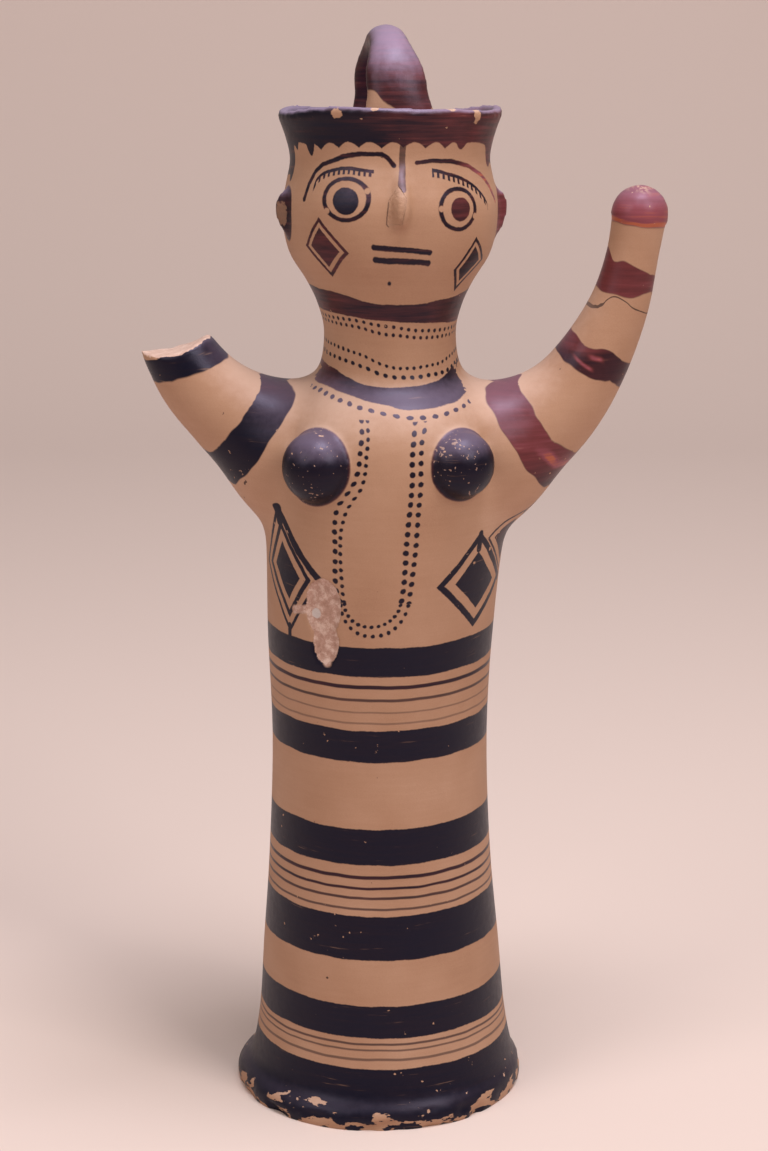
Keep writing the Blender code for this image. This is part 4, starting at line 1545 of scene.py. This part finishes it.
def region(name, arc, paint, streaked=0.35, sheen_share=0.15, foot_wear=False):
    """One material: the fired clay, what is painted on it here, its wear, and a painted sheen and top light
    where it faces up.
    """
    material = bpy.data.materials.new(name)
    material.use_nodes = True
    tree = material.node_tree
    place = Place(tree, arc)
    slip = paint(place)
    broad, streaks, fine, wear = [grain(place.straight, *kind)[0] for kind in (BROAD, STREAKS, FINE, WEAR)]
    worn = step(weighed((wear, broad), WORN_MIX), *WORN_EDGE)
    if foot_wear:
        low = step(place.true_height, *SCUFF_TOP)
        scuffs, _ = grain(place.straight, *SCUFFS)
        scuffed = step(weighed((scuffs, low), SCUFF_MIX), *SCUFF_EDGE)
        worn = worn.high(scuffed * step(low, *SCUFF_LOW))
    slip.scrape(worn)
    thin = step(streaks, *THIN_EDGE) * THIN_SHARE
    cover = slip.cover * thin.rest()
    clay_colour = ramp(weighed((broad, streaks, fine), CLAY_MIX), CLAY_TONES)
    pits, _ = grain(place.straight, *PITS)
    pits = step(pits, *PIT_EDGE) * cover.rest()
    if slip.pale:
        core = ramp(weighed((wear, fine), CORE_MIX), CORE_TONES)
        # A painted white highlight on the bared core of the flaked patch
        core = blended(core, CORE_HIGHLIGHT_COLOUR, step(place.distance(CORE_HIGHLIGHT_SPOT), *CORE_HIGHLIGHT_EDGE) * CORE_HIGHLIGHT_SHARE)
        clay_colour = blended(clay_colour, core, slip.pale)
    # Pits, cracks and the painted shade by the nose, all darkened towards near-black
    dark = pits if slip.dark is None else pits.high(slip.dark)
    clay_colour = blended(clay_colour, PIT_CRACK_AND_SHADE_COLOUR, dark * PIT_CRACK_AND_SHADE_SHARE)
    slip_colour = ramp(slip.red + swing(streaks, streaked) + swing(broad, SLIP_UNEVEN), SLIP_TONES)
    # Painted sheen on the slip and painted top light on the clay, where the surface faces up
    wear_share, broad_share = TOP_LIGHT_UNEVEN
    upward = attribute(tree, "upward") + swing(wear, wear_share) + swing(broad, broad_share)
    painted_top_light = step(upward, *TOP_LIGHT_EDGE)
    slip_colour = blended(slip_colour, PAINTED_SHEEN_COLOUR, painted_top_light * sheen_share)
    clay_colour = blended(clay_colour, TOP_LIT_CLAY, painted_top_light * TOP_LIT_SHARE)
    shader = tree.nodes["Principled BSDF"]
    plug(blended(clay_colour, slip_colour, cover), shader.inputs["Base Color"])
    clay_rough, slip_rough = [
        value * share + least
        for value, (share, least) in ((fine, CLAY_ROUGHNESS), (wear, SLIP_ROUGHNESS))
    ]
    plug(mixed(clay_rough, slip_rough, cover), shader.inputs["Roughness"])
    shader.inputs["Specular IOR Level"].default_value = SPECULAR
    shader.inputs["Specular Tint"].default_value = SPECULAR_TINT
    relief = bumped(weighed((streaks, wear, fine), SKIN_MIX) - dark * PIT_DEPTH, *SKIN_RELIEF)
    if slip.hollow:
        rough = weighed((wear, fine), CORE_ROUGH_MIX) * slip.hollow
        relief = bumped(rough - slip.hollow * CORE_DEPTH, *CORE_RELIEF, relief)
    relief = bumped(cover, *SLIP_RELIEF, relief)
    plug(relief, shader.inputs["Normal"])
    return material


def stored(mesh, name, kind="value", size=1):
    values = [0.0] * (size * len(mesh.vertices))
    mesh.attributes[name].data.foreach_get(kind, values)
    return values


def slip_and_clay(made):
    """Gives each part of the surface the material whose paint belongs there."""
    mesh = made.data
    mesh.materials.append(region("head_clay", HEAD_ARC, head_paint, streaked=0.8, sheen_share=0.48))
    mesh.materials.append(region("chest_clay", BODY_ARC, chest_paint, sheen_share=0.24))
    mesh.materials.append(region("belly_clay", BODY_ARC, belly_paint))
    mesh.materials.append(region("skirt_clay", BODY_ARC, skirt_paint, sheen_share=0.05, foot_wear=True))
    mesh.materials.append(region("arm_clay", BODY_ARC, arm_paint))
    mesh.materials.append(region("inner_clay", BODY_ARC, no_paint))
    straights = stored(mesh, "straight", "vector", 3)
    walked = stored(mesh, "along_arm")
    inner = stored(mesh, "inner")
    knobs = [(breast_centre(side), BREAST_REGION * BREAST_RADIUS[side]) for side in (-1, 1)]
    for face in mesh.polygons:
        vert = face.vertices[0]
        spot = Vector(straights[3 * vert:3 * vert + 3])
        if inner[vert] > 0.5:
            face.material_index = INSIDE
        elif walked[vert] > ARM_START:
            face.material_index = ARM
        elif spot.z > HEAD_FOOT:
            face.material_index = HEAD
        elif spot.z > CHEST_FOOT or any((spot - centre).length < reach for centre, reach in knobs):
            face.material_index = CHEST
        elif spot.z > TORSO_FOOT:
            face.material_index = BELLY
        else:
            face.material_index = SKIRT


# The studio
CAMERA_DISTANCE = 1.10
CAMERA_HEIGHT = 0.506
CAMERA_ASIDE = -0.00615
CAMERA_PITCH = math.radians(16.33)
CAMERA_LENS = 105.1
FRAME_SIZE = (768, 1151)
ROOM_COLOUR = (0.80, 0.74, 0.70, 1)
ROOM_STRENGTH = 0.385
# Each light: name, place, the height that it is aimed at, its width and height, power and colour
LIGHTS = (
    ("key", (0.85, -0.90, 1.20), 0.20, (0.6, 0.6), 10.5, (1.0, 0.95, 0.90)),
    ("fill", (-0.95, -0.75, 0.95), 0.20, (0.7, 0.7), 4.5, (1.0, 0.93, 0.86)),
    ("top", (0.15, -0.15, 1.35), 0.25, (0.6, 0.4), 11, (0.95, 0.95, 1.0)),
)
# The matt paper, from in front of the figurine to where it has rolled up behind it
PAPER_COLOUR = (0.76, 0.61, 0.56, 1)
PAPER_ROUGHNESS = 0.9
PAPER_HALF = 3.0
PAPER_FRONT = -3.0
ROLL_START = 0.9
ROLL_RADIUS = 0.5
ROLL_END = math.radians(66)
ROLL_STEPS = 16


def add_light(name, place, aim, size, power, colour):
    data = bpy.data.lights.new(name, "AREA")
    data.shape = "RECTANGLE"
    data.size, data.size_y = size
    data.energy = power
    data.color = colour
    made = bpy.data.objects.new(name, data)
    made.location = place
    bpy.context.collection.objects.link(made)
    facing = Vector((0, 0, aim)) - made.location
    made.rotation_euler = facing.to_track_quat("-Z", "Y").to_euler()


def studio():
    scene = bpy.context.scene
    data = bpy.data.cameras.new("camera")
    data.lens = CAMERA_LENS
    camera = bpy.data.objects.new("camera", data)
    camera.location = (CAMERA_ASIDE, -CAMERA_DISTANCE, CAMERA_HEIGHT)
    camera.rotation_euler = (math.pi / 2 - CAMERA_PITCH, 0, 0)
    bpy.context.collection.objects.link(camera)
    scene.camera = camera
    scene.render.resolution_x, scene.render.resolution_y = FRAME_SIZE
    scene.view_settings.view_transform = "Standard"
    world = bpy.data.worlds.new("room")
    world.use_nodes = True
    background = world.node_tree.nodes["Background"]
    background.inputs["Color"].default_value = ROOM_COLOUR
    background.inputs["Strength"].default_value = ROOM_STRENGTH
    scene.world = world
    for light in LIGHTS:
        add_light(*light)


def floor():
    """A matt floor that rolls up behind the figurine."""
    shape = bmesh.new()
    outline = [(PAPER_FRONT, 0.0)]
    for index in range(ROLL_STEPS + 1):
        angle = ROLL_END * index / ROLL_STEPS
        outline.append((ROLL_START + ROLL_RADIUS * math.sin(angle), ROLL_RADIUS * (1 - math.cos(angle))))
    left, right = [[shape.verts.new((x, y, z)) for y, z in outline] for x in (-PAPER_HALF, PAPER_HALF)]
    for index in range(len(outline) - 1):
        shape.faces.new((left[index], right[index], right[index + 1], left[index + 1]))
    made = as_object("floor", shape)
    made.data.shade_smooth()
    material = bpy.data.materials.new("matt_paper")
    material.use_nodes = True
    shader = material.node_tree.nodes["Principled BSDF"]
    shader.inputs["Base Color"].default_value = PAPER_COLOUR
    shader.inputs["Roughness"].default_value = PAPER_ROUGHNESS
    made.data.materials.append(material)


made = figurine()
slip_and_clay(made)
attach(made, "root")
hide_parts("figurine")
floor()
studio()
